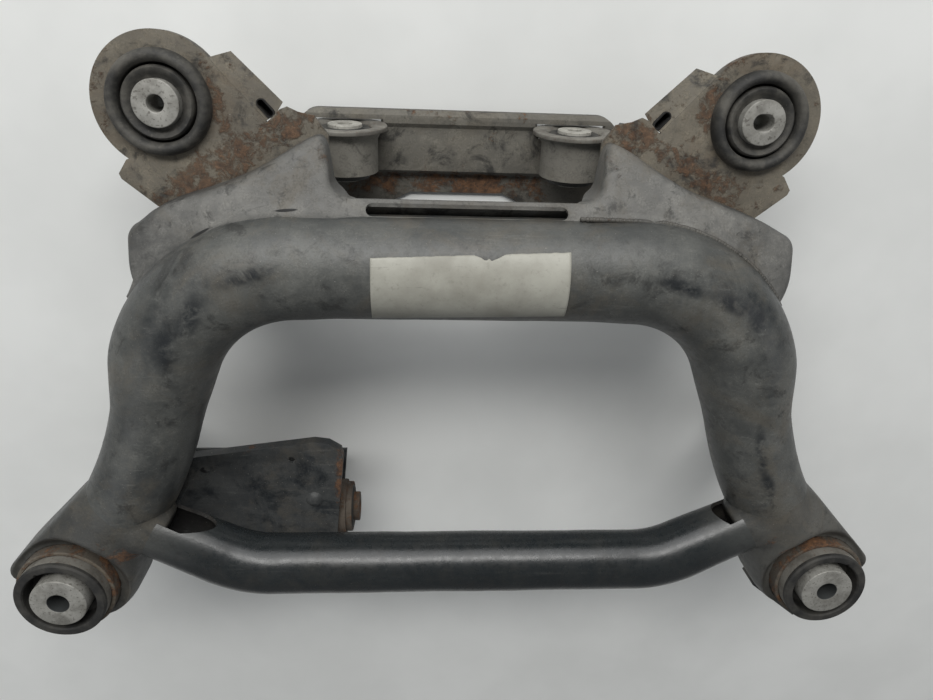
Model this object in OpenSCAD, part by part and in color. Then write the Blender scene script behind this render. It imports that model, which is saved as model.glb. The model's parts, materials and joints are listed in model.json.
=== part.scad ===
// Rear subframe of a passenger car: a bent main tube, a front brace, pressed
// rear panel and wings, four body mounts and three differential mounts.
// +X across the car, +Y to the rear, +Z up. The origin lies midway between the
// upper faces of the two front mount sleeves.

/* [Layout] */
// Distance between the two front body bolts
front_span = 680; // [670:1:690]
// Distance between the two rear body bolts
rear_span = 457; // [450:1:464]
// Rear body bolts behind the front ones
rear_y = 402; // [398:1:408]
// Rear sleeve faces below the front ones
rear_drop = 65; // [62:1:68]
// Ground that the part rests on, below the front sleeve faces
ground_drop = 206; // [204:1:216]
// Clearance between pieces that seat on each other
fit_gap = 0.15; // [0.05:0.05:0.4]
// Thickness of the pressed sheets
sheet_t = 3; // [2:0.5:4]

/* [Main tube] */
// Outside diameter of the main tube's cross run
tube_d = 80; // [78:0.5:81]
// Outside diameter of the upper bends
bend_d = 83; // [81.5:0.5:84]
// Outside diameter of the legs
leg_d = 71; // [69:0.5:73]
// Wall of the main tube
tube_wall = 3.5; // [2:0.5:5]
// Tube axis below the front sleeve faces
tube_drop = 38; // [37:0.5:40]
// Radius of the two upper bends at the tube axis
bend_r = 112; // [106:1:116]
// Angle of the two upper bends
bend_deg = 76; // [74:0.5:78]
// Straight run of each leg under its bend
leg_run = 33; // [28:1:38]
// Radius of the outward sweep of each leg
sweep_r = 350; // [335:1:365]
// Angle of the outward sweep of each leg
sweep_deg = 22; // [20:0.5:23]
// Straight run from the sweep to the front bolt axis
foot_run = 64; // [62:1:68]

/* [Front brace] */
// Outside diameter of the brace tube
brace_d = 53; // [50:0.5:54]
// Outside diameter of the brace tube at the legs
brace_end_d = 48; // [46:0.5:49.5]
// Wall of the brace tube
brace_wall = 3; // [2:0.5:4]
// Brace axis below the front sleeve faces
brace_drop = 31; // [30.5:0.5:34]
// Middle run of the brace behind the front bolts
brace_y = 15; // [12:1:18]
// Radius of the brace bends at the axis
brace_bend_r = 100; // [80:1:120]
// Angle of the brace bends
brace_bend_deg = 28; // [25:1:31]
// Where the brace axis meets the leg axis, behind the front bolts
brace_joint_y = 70; // [67:1:74]

/* [Front mounts] */
// Outside diameter of the front mount tubes
front_mount_d = 83; // [81:0.5:85]
// Wall of all the mount tubes
mount_wall = 3.5; // [2.5:0.5:4]
// Top of the front mount tubes below the sleeve faces
front_mount_drop = 15; // [14:0.5:17]
// Length of the front mount tubes
front_mount_len = 55; // [52:1:58]
// Diameter of the front sleeves
front_sleeve_d = 47; // [45:0.5:48]
// Bore of the front sleeves
front_bore_d = 18; // [14:0.5:20]
// Length of the front sleeves
front_sleeve_len = 74; // [70:1:78]
// Radius of the pressed cup around each front mount
shell_r = 49; // [47:0.5:51]
// Cup centre towards the middle of the car
shell_in = 9; // [7:0.5:10]
// Cup centre behind the bolt axis
shell_back = 8; // [6:0.5:9]
// Outer corner of each shell, from the bolt axis outwards
shell_out = 50; // [46:0.5:52]
// Leg length that each shell wraps, from the bolt axis
shell_reach = 62; // [60:0.5:64]
// Leg length that the outer flare of each shell covers, from the bolt axis
flare_reach = 86; // [82:1:90]

/* [Rear mounts] */
// Diameter of the rear sleeves
rear_sleeve_d = 34.4; // [33:0.2:36]
// Bore of the rear sleeves
rear_bore_d = 12.5; // [10:0.5:14]
// Extra length of the slotted bore on the right side
rear_slot = 4; // [2:0.5:6]
// Length of the rear sleeves
rear_sleeve_len = 65; // [60:1:70]
// Outside diameter of the rear bush shells
rear_bush_d = 73; // [71:0.5:74]
// Diameter of the round seat of each wing
seat_d = 100; // [96:1:102]
// Wing sheet below the rear sleeve faces
wing_drop = 11; // [10:0.5:12]
// Depth of the turned rim of the round seat
seat_rim = 9; // [6:1:12]

/* [Top panel] */
// Half width of the rear window
window_half = 103; // [100:0.5:105]
// Panel depth behind the main tube at the window
panel_depth = 55; // [53:0.5:57]
// Fall of the panel away from the tube
panel_fall = 20; // [17:0.5:22]
// Panel seam above the tube axis
seam_rise = 4; // [3:0.5:6]
// Width of the long slot behind the tube
slot_w = 9; // [7:0.5:10]
// Half length of the long slot
slot_half = 76; // [70:1:78]
// Width of the strip behind the slot
strip_w = 2.5; // [2:0.25:2.75]
// Depth of the strip's folded edge
strip_h = 4; // [3:0.5:6]
// Reach of the right ear from the middle of the car
ear_x = 266; // [263:0.5:268]
// Reach of the left ear from the middle of the car
left_ear_x = 256; // [254:0.5:264]
// Corner radius of the ears and of the window
corner_r = 14; // [10:1:16]

/* [Differential mounts] */
// Distance between the two rear differential bolts
diff_span = 204; // [200:1:206]
// Middle of the rear differential mounts behind the front bolts
diff_y = 357; // [355:0.5:359]
// Middle of the rear differential mounts below the front sleeve faces
diff_drop = 164.5; // [163:0.5:166]
// Upward tilt of the rear differential bolts
diff_tilt = 5; // [3:0.5:6]
// Outside diameter of the differential mount tubes
diff_tube_d = 57; // [55:0.5:58]
// Length of the differential mount tubes
diff_tube_len = 36; // [34:0.5:38]
// Diameter of the bush flanges
diff_flange_d = 74; // [70:0.5:75]
// Diameter of the differential sleeves
diff_sleeve_d = 30; // [28:0.5:32]
// Bore of the differential sleeves
diff_bore_d = 12.5; // [10:0.5:14]
// Front differential bolt axis behind the front body bolts
nose_y = -2; // [-4:0.5:2]
// Open end of the front differential mount from the middle of the car
nose_x = 112; // [110:0.5:116]

/* [Brackets] */
// Top of the front differential bracket below the front sleeve faces
bracket_drop = 110; // [109:0.5:112]
// Depth of the front differential bracket
bracket_h = 64; // [63.5:0.5:68]
// Inner face of the side plates outside the rear differential bolts
side_x = 45; // [43:0.5:47]
// Thickness of the side plates and link bracket plates
plate_t = 4; // [3:0.5:5]
// Width between the plates of a link bracket
link_w = 36; // [34:1:38]
// Bolt hole of the link brackets
link_hole_d = 12.5; // [10:0.5:14.5]

/* [Hidden] */
$fn = 64;
far = 600;
run_in = 5;
draw_step = 0.2;

// Main tube in plan, worked back from the front bolt to the cross run
tube_r = tube_d / 2;
leg_r = leg_d / 2;
tube_z = -tube_drop;
foot_deg = bend_deg - sweep_deg;
foot_dir = [cos(foot_deg), -sin(foot_deg)];
front_x = front_span / 2;
sweep_end = [front_x, 0] - foot_run * foot_dir;
sweep_c = sweep_end + sweep_r * [sin(foot_deg), cos(foot_deg)];
sweep_start = sweep_c - sweep_r * [sin(bend_deg), cos(bend_deg)];
leg_top = sweep_start + leg_run * [-cos(bend_deg), sin(bend_deg)];
bend_c = leg_top - bend_r * [sin(bend_deg), cos(bend_deg)];
cross_half = bend_c[0];
taper_x = cross_half - 34;
tube_y = bend_c[1] + bend_r;
tube_back = tube_y + tube_r;

// Front brace in plan, ending on the leg axis
function leg_x(y) = sweep_c[0] - sqrt(sweep_r * sweep_r - (sweep_c[1] - y) * (sweep_c[1] - y));
brace_dir = [cos(brace_bend_deg), sin(brace_bend_deg)];
brace_joint = [leg_x(brace_joint_y), brace_joint_y];
brace_bend_y = brace_y + brace_bend_r * (1 - cos(brace_bend_deg));
brace_run = (brace_joint_y - brace_bend_y) / sin(brace_bend_deg);
brace_bend_end = brace_joint - brace_run * brace_dir;
brace_half = brace_bend_end[0] - brace_bend_r * sin(brace_bend_deg);
left_gap_len = 78;
right_gap_len = 54;

// Front mounts
front_mount_r = front_mount_d / 2;
front_mount_top = -front_mount_drop;
front_mount_low = front_mount_top - front_mount_len;
bush_wall = 2;
front_bush_r = front_mount_r - mount_wall - fit_gap;
front_bush_in = front_bush_r - bush_wall;
front_bush_top = front_mount_top + 8;
shell_top = front_mount_top - 1;
shell_low = front_mount_low - 2;
cup_c = [front_x - shell_in, shell_back];
wrap_c = [front_x, 0] - shell_reach * foot_dir;
flare_deg = foot_deg + (flare_reach - foot_run) / sweep_r * 180 / PI;
flare_c = sweep_c - (sweep_r - leg_r + 7) * [sin(flare_deg), cos(flare_deg)];

// Rear mounts
rear_x = rear_span / 2;
rear_z = -rear_drop;
wing_z = rear_z - wing_drop;
rear_bush_r = rear_bush_d / 2;
rear_bush_in = rear_bush_r - bush_wall;
rear_mount_r = rear_bush_r + fit_gap + mount_wall;
rear_mount_top = wing_z - sheet_t - fit_gap;
rear_bush_len = 50;

// Top panel and wing outlines in plan, right half, given from the tube's rear line
seam_z = tube_z + seam_rise;
window_y = tube_back + slot_w + strip_w;
strip_z = seam_z - slot_w / 2 - strip_h;
crest = [
    [window_half + 4, panel_depth],
    [window_half + 18, panel_depth - 4],
    [window_half + 46, panel_depth - 22],
    [window_half + 78, panel_depth - 38],
    [rear_x + 1, panel_depth - 53]
];
ear_y = tube_back - 11;
function panel_half(reach) = concat(
    [[cross_half, tube_y + 8], [cross_half + bend_r * 0.8, bend_c[1] + bend_r * 0.55]],
    [[reach - 12, bend_c[1] + 80], [reach, bend_c[1] + 100]],
    arc([reach - corner_r, ear_y - corner_r], corner_r, 0, 70),
    [for (i = [len(crest) - 1:-1:0]) [crest[i][0], tube_back + crest[i][1]]],
    arc([window_half - corner_r, window_y + corner_r], corner_r, 0, -90)
);
right_half = panel_half(ear_x);
left_half = panel_half(left_ear_x);
panel_outline = concat(right_half, [for (i = [len(left_half) - 1:-1:0]) [-left_half[i][0], left_half[i][1]]]);
wing_outline = [
    [rear_x - 36, rear_y + 34],
    [rear_x - 77, rear_y - 11.5],
    [rear_x - 87, rear_y - 2],
    [rear_x - 92, rear_y],
    [rear_x - 100, rear_y - 3.5],
    [window_half + 13, rear_y - 6],
    [window_half + 3, tube_back + panel_depth - 2],
    [window_half + 3, tube_back + panel_depth - 18],
    [window_half + 44, tube_back + panel_depth - 38],
    [window_half + 76, tube_back + panel_depth - 53],
    [rear_x, tube_back + panel_depth - 68],
    [rear_x + 12, tube_back + panel_depth - 59],
    [rear_x + 36, rear_y - 56.5],
    [rear_x + 37.5, rear_y - 52.5],
    [rear_x + 30.5, rear_y - 42],
    [rear_x + 22, rear_y - 38]
];
crease_from = [rear_x - 36, rear_y + 34];
crease_to = [rear_x - 77, rear_y - 11.5];
crease_len = norm(crease_to - crease_from);
crease_deg = atan2(crease_to[1] - crease_from[1], crease_to[0] - crease_from[0]);
edge_w = 15;
edge_fall = 25;

// Differential mounts, with the bush axis along the mount's own z
diff_z = -diff_drop;
diff_tube_r = diff_tube_d / 2;
diff_bush_r = diff_tube_r - mount_wall + 1 - fit_gap;
diff_bush_in = diff_bush_r - bush_wall;
diff_top = 22;
diff_low = diff_top - diff_tube_len;
flange_t = 4;
sleeve_proud = 1;
floor_z = -diff_tube_r + 6;
plate_x = diff_span / 2 + side_x;
cross_end = plate_x - fit_gap;
nose_len = 54;

// Plan of the front differential bracket, on the left side
bracket_z = -bracket_drop;
nose_z = bracket_z - sheet_t - fit_gap - diff_tube_r;
nose_front = nose_y - diff_tube_r - fit_gap - sheet_t;
nose_lip = 12;
nose_floor = 52;
nose_outline = [
    [-nose_x - 7, nose_front],
    [-nose_x + 3.5, nose_y + 78],
    [-nose_x + 1.5, nose_y + 85.5],
    [-nose_x - 10, nose_y + 93],
    [-nose_x - 24, nose_y + 95],
    [-leg_x(60) + 12, nose_y + 74],
    [-leg_x(60) + 12, nose_y + 26],
    [-nose_x - 104, nose_front]
];

// Points of a round stretch, about c, from angle a0 to a1
function arc(c, r, a0, a1) = [for (k = [0:6]) let (a = a0 + (a1 - a0) * k / 6) c + r * [cos(a), sin(a)]];

// Outline moved inwards by t; the points run counterclockwise
function inset(p, t) = [
    for (i = [0:len(p) - 1])
        let (
            a = p[(i + len(p) - 1) % len(p)],
            b = p[i],
            c = p[(i + 1) % len(p)],
            u = (b - a) / norm(b - a),
            v = (c - b) / norm(c - b),
            n = [-u[1], u[0]],
            m = [-v[1], v[0]]
        )
        b + t * (n + m) / (1 + n * m)
];

module side(s) {
    mirror([s < 0 ? 1 : 0, 0, 0]) children();
}

module both_sides() {
    side(1) children();
    side(-1) children();
}

// Straight run of a tube, drawn a little under the bends that it runs into
module rod(from, to, d, d_to) {
    v = to - from;
    translate([from[0], from[1], 0])
        rotate([0, 0, atan2(v[1], v[0])])
            translate([-run_in, 0, 0])
                rotate([0, 90, 0])
                    cylinder(d1 = d - 2 * draw_step, d2 = d_to - 2 * draw_step, h = norm(v) + 2 * run_in);
}

module bend(c, r, a0, sweep, d) {
    translate([c[0], c[1], 0])
        rotate([0, 0, a0])
            rotate_extrude(angle = sweep, $fn = 360)
                translate([r, 0])
                    circle(d = d);
}

module ring(r_out, r_in, low, top) {
    translate([0, 0, low])
        difference() {
            cylinder(r = r_out, h = top - low);
            translate([0, 0, -1]) cylinder(r = r_in, h = top - low + 2);
        }
}

// Solids of the main tube made larger all round by g, stretch by stretch, right half
module cross_bar(g) {
    translate([0, 0, tube_z]) {
        rod([-taper_x, tube_y], [taper_x, tube_y], tube_d + 2 * g, tube_d + 2 * g);
        both_sides() rod([taper_x, tube_y], [cross_half, tube_y], tube_d + 2 * g - 0.4, bend_d + 2 * g);
    }
}

module corner_bar(g) {
    translate([0, 0, tube_z]) bend(bend_c, bend_r, 90 - bend_deg, bend_deg, bend_d + 2 * g);
}

module leg_bar(g) {
    translate([0, 0, tube_z]) rod(leg_top, sweep_start, bend_d + 2 * g, leg_d + 2 * g);
}

module sweep_bar(g) {
    translate([0, 0, tube_z]) bend(sweep_c, sweep_r, 270 - bend_deg, sweep_deg, leg_d + 2 * g);
}

module foot_bar(g) {
    translate([0, 0, tube_z]) rod(sweep_end, [front_x, 0], leg_d + 2 * g, leg_d + 2 * g);
}

// Full solid of the bent main tube, made larger all round by g
module main_bar(g) {
    cross_bar(g);
    both_sides() {
        corner_bar(g);
        leg_bar(g);
        sweep_bar(g);
        foot_bar(g);
    }
}

// Tapered end of the brace, right side, made larger all round by g
module brace_end(g) {
    translate([0, 0, -brace_drop]) rod(brace_bend_end, brace_joint, brace_d + 2 * g, brace_end_d + 2 * g);
}

// Full solid of the bent brace, made larger all round by g
module brace_bar(g) {
    d = brace_d + 2 * g;
    translate([0, 0, -brace_drop]) {
        rod([-brace_half, brace_y], [brace_half, brace_y], d, d);
        both_sides() bend([brace_half, brace_y + brace_bend_r], brace_bend_r, -90, brace_bend_deg, d);
    }
    both_sides() brace_end(g);
}

// Open gap of the brace wall in the inner corner with the leg
module brace_gap(s) {
    gap_len = s < 0 ? left_gap_len : right_gap_len;
    ramp = s < 0 ? 26 : 10;
    translate([brace_joint[0], brace_joint[1], -brace_drop])
        rotate([0, 0, brace_bend_deg])
            translate([0, 0, -brace_d])
                linear_extrude(2 * brace_d)
                    polygon([
                        [-gap_len, brace_d / 2], [-gap_len + ramp, brace_end_d / 2 - 6],
                        [0, brace_end_d / 2 - 6], [0, brace_d / 2]
                    ]);
}

module front_mount_room() {
    both_sides()
        translate([front_x, 0, -far / 2])
            cylinder(r = front_mount_r + fit_gap, h = far);
}

module main_tube() {
    color("#2b2d2e")
        difference() {
            main_bar(0);
            main_bar(-tube_wall);
            front_mount_room();
        }
}

module front_brace() {
    color("#232526")
        difference() {
            brace_bar(0);
            brace_bar(-brace_wall);
            for (s = [-1, 1])
                side(s) {
                    sweep_bar(fit_gap);
                    foot_bar(fit_gap);
                    brace_gap(s);
                }
        }
}

// Block under the panel's upper face, let down by drop, swept along the main tube
module panel_block(drop) {
    back = panel_depth + 30;
    low = wing_z + fit_gap - (drop > 0 ? 1 : 0);
    profile = [
        [-tube_r, seam_z - drop + tube_r * tan(panel_fall)],
        [-tube_r, low],
        [back, low],
        [back, seam_z - drop - back * tan(panel_fall)]
    ];
    translate([-cross_half - run_in / 2, tube_back, -draw_step / 2])
        rotate([90, 0, 90])
            linear_extrude(2 * cross_half + run_in)
                polygon(profile);
    both_sides()
        translate([bend_c[0], bend_c[1], 0])
            rotate([0, 0, 90 - bend_deg])
                rotate_extrude(angle = bend_deg)
                    translate([bend_r + tube_r, 0])
                        polygon(profile);
}

// Solid of the panel's outline, pulled in by t on every side and let down by t
module panel_form(t) {
    intersection() {
        panel_block(t);
        translate([0, 0, -far / 2]) linear_extrude(far) polygon(inset(panel_outline, t));
    }
}

module panel_slot() {
    translate([0, 0, -far / 2])
        linear_extrude(far) {
            translate([-slot_half + slot_w / 2, tube_back - slot_w])
                square([2 * slot_half - slot_w, 2 * slot_w]);
            for (s = [1, -1])
                translate([s * (slot_half - slot_w / 2), tube_back + slot_w / 2])
                    circle(d = slot_w);
        }
}

// Sheet folded under the slot, from the strip back to the tube
module strip_fold() {
    difference() {
        translate([-window_half + corner_r, 0, strip_z])
            rotate([90, 0, 90])
                linear_extrude(2 * (window_half - corner_r))
                    polygon([
                        [window_y - 0.4, 1], [window_y - 0.4, -1], [window_y - 26, -26],
                        [window_y - 26, -22], [window_y - 2.2, 1]
                    ]);
        cross_bar(fit_gap);
    }
}

module top_panel() {
    color("#3a3b39") {
        difference() {
            panel_form(0);
            panel_form(sheet_t);
            cross_bar(fit_gap);
            both_sides() corner_bar(fit_gap);
            panel_slot();
            translate([-window_half + corner_r, tube_y, strip_z - far])
                cube([2 * (window_half - corner_r), window_y - tube_y + 1, far]);
        }
        strip_fold();
    }
}

// Sloping edge strip of a wing, hinged on the crease
module wing_edge() {
    translate([crease_from[0], crease_from[1], wing_z - 1.15 * sheet_t])
        rotate([0, 0, crease_deg])
            rotate([edge_fall, 0, 0])
                linear_extrude(0.8 * sheet_t)
                    polygon([
                        [2, 2], [9, -edge_w], [crease_len - 3, -edge_w - 3.5],
                        [crease_len, -8], [crease_len - 1.5, 2]
                    ]);
}

module wing(s) {
    color("#4a3f36")
        side(s)
            difference() {
                union() {
                    translate([0, 0, wing_z - sheet_t])
                        linear_extrude(sheet_t) {
                            polygon(wing_outline);
                            translate([rear_x, rear_y]) circle(d = seat_d);
                        }
                    wing_edge();
                    translate([rear_x, rear_y, 0])
                        ring(seat_d / 2, seat_d / 2 - sheet_t, wing_z - seat_rim, wing_z - sheet_t / 2);
                }
                translate([rear_x, rear_y, wing_z - far / 2]) cylinder(r = rear_bush_r + fit_gap, h = far);
                translate([rear_x - 76, rear_y - 1.7, wing_z - far / 2])
                    rotate([0, 0, crease_deg])
                        linear_extrude(far) {
                            square([9, 7], center = true);
                            translate([4.5, 0]) circle(d = 7);
                            translate([-4.5, 0]) circle(d = 7);
                        }
            }
}

// Outer form of a front shell, made smaller by t and opened downwards by drop
module shell_form(t, drop) {
    hull() {
        translate([cup_c[0], cup_c[1], shell_low - drop])
            cylinder(r = shell_r - t, h = shell_top - 18 - shell_low + drop, $fn = 48);
        translate([cup_c[0], cup_c[1], shell_top - 18 - t])
            cylinder(r1 = shell_r - t, r2 = front_mount_r + 3 - t, h = 18, $fn = 48);
        translate([wrap_c[0], wrap_c[1], tube_z])
            rotate([0, 0, -foot_deg])
                rotate([0, 90, 0])
                    cylinder(r = leg_r + sheet_t - t, h = 1, $fn = 48);
        translate([flare_c[0], flare_c[1], tube_z - 20 + t])
            cylinder(r = 9 - t, h = 40 - 2 * t, $fn = 24);
        translate([front_x + shell_out - 9, 14, shell_low - drop])
            cylinder(r = 9 - t, h = shell_top - 8 - t - shell_low + drop, $fn = 24);
    }
}

module front_shell(s) {
    color("#3b3531")
        side(s)
            difference() {
                shell_form(0, 0);
                shell_form(sheet_t, 10);
                foot_bar(fit_gap);
                sweep_bar(fit_gap);
                brace_end(fit_gap);
                translate([front_x, 0, -far / 2]) cylinder(r = front_mount_r + fit_gap, h = far);
            }
}

module at_front_mount(s) {
    side(s) translate([front_x, 0, 0]) children();
}

module at_rear_mount(s) {
    side(s) translate([rear_x, rear_y, rear_z]) children();
}

module front_mount_tube(s) {
    color("#5a4638")
        at_front_mount(s)
            ring(front_mount_r, front_mount_r - mount_wall, front_mount_low, front_mount_top);
}

module front_bush_shell(s) {
    color("#4d4d4b")
        at_front_mount(s)
            ring(front_bush_r, front_bush_in, front_mount_low, front_bush_top);
}

module front_rubber(s) {
    hold = front_sleeve_d / 2 + fit_gap;
    lip_in = hold + 6.5;
    outer = front_bush_in - fit_gap;
    seat = front_bush_top + fit_gap;
    color("#1d1d1c")
        at_front_mount(s)
            difference() {
                rotate_extrude()
                    polygon([
                        [hold, -24], [hold, front_mount_low + 14], [lip_in, front_mount_low + 10],
                        [lip_in, front_mount_low + 2], [outer, front_mount_low + 2], [outer, seat],
                        [front_bush_r, seat], [front_bush_r, -4], [front_bush_r - 1.5, -2.5],
                        [lip_in + 1, -2.5], [lip_in, -4], [lip_in, -22]
                    ]);
                for (a = [62, 118])
                    rotate([0, 0, a])
                        translate([lip_in, 0, -9])
                            cylinder(r = 2.2, h = 10);
            }
}

module front_sleeve(s) {
    color("#b4b3ad")
        at_front_mount(s)
            difference() {
                translate([0, 0, -front_sleeve_len]) cylinder(d = front_sleeve_d, h = front_sleeve_len);
                translate([0, 0, -front_sleeve_len - 1]) cylinder(d = front_bore_d, h = front_sleeve_len + 2);
            }
}

module rear_mount_tube(s) {
    color("#3a3634")
        side(s)
            translate([rear_x, rear_y, 0])
                ring(rear_mount_r, rear_bush_r + fit_gap, rear_mount_top - rear_bush_len + 8, rear_mount_top);
}

module rear_bush_shell(s) {
    color("#4d4d4b")
        side(s)
            translate([rear_x, rear_y, 0])
                ring(rear_bush_r, rear_bush_in, wing_z - rear_bush_len, wing_z);
}

module rear_rubber(s) {
    hold = rear_sleeve_d / 2 + fit_gap;
    split = hold + 9.2;
    outer = rear_bush_in - fit_gap;
    collar = rear_bush_r + 1.5;
    seat = fit_gap - wing_drop;
    low = -wing_drop - rear_bush_len;
    color("#262624")
        at_rear_mount(s)
            difference() {
                rotate_extrude()
                    polygon([
                        [hold, -8], [hold, low + 8], [outer, low + 4], [outer, seat], [collar, seat],
                        [collar, -4], [collar - 2, -1], [split + 3, -1], [split + 1.6, -3],
                        [split + 1.6, -25], [split, -25], [split, -4], [split - 2, -3.5], [hold + 1, -8]
                    ]);
                if (s > 0)
                    translate([0, split + 2.4, -6]) cylinder(r = 2, h = 8);
            }
}

module rear_sleeve(s) {
    bore_shift = s > 0 ? rear_slot / 2 : 0;
    color("#a8a79f")
        at_rear_mount(s)
            difference() {
                translate([0, 0, -rear_sleeve_len]) cylinder(d = rear_sleeve_d, h = rear_sleeve_len);
                for (k = [1, -1])
                    translate([k * bore_shift, 0, -rear_sleeve_len - 1])
                        cylinder(d = rear_bore_d, h = rear_sleeve_len + 2);
                translate([-bore_shift, -rear_bore_d / 2, -rear_sleeve_len - 1])
                    cube([2 * bore_shift + 0.001, rear_bore_d, rear_sleeve_len + 2]);
            }
}

module rear_frame() {
    translate([0, diff_y, diff_z])
        rotate([diff_tilt, 0, 0])
            children();
}

module at_diff_mount(s) {
    side(s)
        rear_frame()
            translate([diff_span / 2, 0, 0])
                rotate([-90, 0, 0])
                    children();
}

// Room in the crossmember for one mount tube and its flange
module diff_room() {
    rotate([-90, 0, 0]) {
        translate([0, 0, diff_low - 20]) cylinder(r = diff_tube_r + fit_gap, h = diff_tube_len + 20);
        translate([0, 0, diff_top - 8]) cylinder(r = diff_flange_d / 2 + 1, h = flange_t + 10);
    }
}

module rear_crossmember() {
    t = sheet_t;
    front = -50;
    back = 36;
    step = 11;
    corner = 20;
    color("#4b453f")
        rear_frame()
            difference() {
                translate([-cross_end, 0, 0])
                    rotate([90, 0, 90])
                        linear_extrude(2 * cross_end)
                            polygon([
                                [front, floor_z - step], [front + 26, floor_z - step], [front + 32, floor_z],
                                [back - 15, floor_z], [back - 11, floor_z + 3], [back - 4, floor_z + 3],
                                [back, floor_z - 1], [back, floor_z - 9], [back - t, floor_z - 9],
                                [back - t, floor_z - 2], [back - 5, floor_z + 3 - t],
                                [back - 10, floor_z + 3 - t], [back - 14, floor_z - t],
                                [front + 33.7, floor_z - t],
                                [front + 27.7, floor_z - step - t], [front, floor_z - step - t]
                            ]);
                translate([diff_span / 2, 0, 0]) diff_room();
                translate([-diff_span / 2, 0, 0]) diff_room();
                translate([0, 0, -far / 2])
                    linear_extrude(far) {
                        polygon([[-64, front - 1], [-45, front + 9], [44, front + 9], [63, front - 1]]);
                        for (k = [1, -1])
                            translate([k * (cross_end - corner), back - corner])
                                difference() {
                                    translate([k > 0 ? 0 : -corner - 1, 0]) square(corner + 1);
                                    circle(r = corner);
                                }
                    }
            }
}

module side_plate(s) {
    low = -ground_drop;
    top = wing_z - sheet_t - fit_gap;
    front = tube_back - 12;
    back = rear_y - 12;
    color("#3a3634")
        side(s)
            translate([plate_x, 0, 0])
                rotate([90, 0, 90])
                    linear_extrude(plate_t)
                        difference() {
                            polygon([
                                [front + 22, top], [back, top], [back, low + 24], [back - 14, low],
                                [front + 8, low], [front, low + 8], [front, low + 60]
                            ]);
                            translate([(front + back) / 2 + 3, (top + diff_z) / 2 + 8]) circle(r = 15);
                        }
}

module diff_tube(s) {
    color("#6a665f")
        at_diff_mount(s)
            rotate_extrude()
                polygon([
                    [diff_bush_r + fit_gap, diff_low], [diff_tube_r, diff_low], [diff_tube_r, diff_top - 7],
                    [diff_tube_r + 4, diff_top], [diff_bush_r + fit_gap, diff_top]
                ]);
}

module diff_bush_shell(s) {
    seat = diff_top + fit_gap;
    color("#77746d")
        at_diff_mount(s)
            rotate_extrude()
                polygon([
                    [diff_bush_in, diff_low], [diff_bush_r, diff_low], [diff_bush_r, seat],
                    [diff_flange_d / 2, seat], [diff_flange_d / 2, seat + flange_t],
                    [diff_bush_in + 3, seat + flange_t], [diff_bush_in, seat + 1]
                ]);
}

module diff_rubber(s) {
    hold = diff_sleeve_d / 2 + fit_gap;
    outer = diff_bush_in - fit_gap;
    color("#1f1f1e")
        at_diff_mount(s)
            rotate_extrude()
                polygon([
                    [hold, diff_low - 5], [outer - 3, diff_low - 5], [outer, diff_low], [outer, diff_top],
                    [outer - 2, diff_top + 2], [hold + 1.5, diff_top + 1], [hold, diff_top + 2.5]
                ]);
}

module diff_sleeve(s) {
    low = diff_low - 7;
    top = diff_top + fit_gap + flange_t + sleeve_proud;
    color("#c9c8c2")
        at_diff_mount(s)
            ring(diff_sleeve_d / 2, diff_bore_d / 2, low, top);
}

module at_nose() {
    translate([-nose_x, nose_y, nose_z])
        rotate([0, 90, 0])
            children();
}

module nose_room(extra) {
    at_nose()
        translate([0, 0, -nose_len - 1])
            cylinder(r = diff_tube_r + extra, h = nose_len + 40);
}

// Vertical plates that carry the bracket on the leg
module nose_risers() {
    for (y = [nose_y + 47, nose_y + 60])
        translate([-leg_x(60) + 12, y, bracket_z - sheet_t])
            cube([26, sheet_t, tube_drop - tube_z]);
}

module nose_bracket() {
    color("#34332f")
        difference() {
            union() {
                translate([0, 0, bracket_z - bracket_h])
                    linear_extrude(bracket_h)
                        polygon(nose_outline);
                nose_risers();
                translate([-nose_x - 26, nose_y + 30, bracket_z - 7]) sphere(r = 11);
            }
            translate([0, 0, bracket_z - bracket_h + sheet_t])
                linear_extrude(bracket_h - 2 * sheet_t)
                    polygon(inset(nose_outline, sheet_t));
            translate([-far, nose_front + sheet_t, bracket_z - bracket_h + sheet_t])
                cube([far, far, bracket_h - sheet_t - nose_lip]);
            translate([-far, nose_y + nose_floor, bracket_z - bracket_h - 1])
                cube([far, far, bracket_h / 2]);
            for (p = [[-nose_x - 128, nose_y + 66], [-nose_x - 46, nose_y + 76]])
                translate([p[0], p[1], bracket_z - 2 * sheet_t])
                    cylinder(d = 6.5, h = 4 * sheet_t);
            nose_room(fit_gap);
            side(-1) {
                foot_bar(fit_gap);
                sweep_bar(fit_gap);
                brace_end(fit_gap);
            }
        }
}

module nose_tube() {
    color("#4c4038")
        at_nose()
            ring(diff_tube_r, diff_bush_r + fit_gap, -nose_len, 3);
}

module nose_bush_shell() {
    color("#6b6259")
        at_nose()
            ring(diff_bush_r, diff_bush_in, -nose_len, 9);
}

module nose_rubber() {
    hold = diff_sleeve_d / 2 + fit_gap;
    outer = diff_bush_in - fit_gap;
    color("#1f1f1e")
        at_nose()
            rotate_extrude()
                polygon([
                    [hold, -nose_len - 4], [outer - 3, -nose_len - 4], [outer, -nose_len], [outer, 7],
                    [outer - 3, 10], [hold + 2, 8], [hold, 10]
                ]);
}

module nose_sleeve() {
    color("#8f8b83")
        at_nose()
            ring(diff_sleeve_d / 2, diff_bore_d / 2, -nose_len - 7, 16);
}

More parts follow.
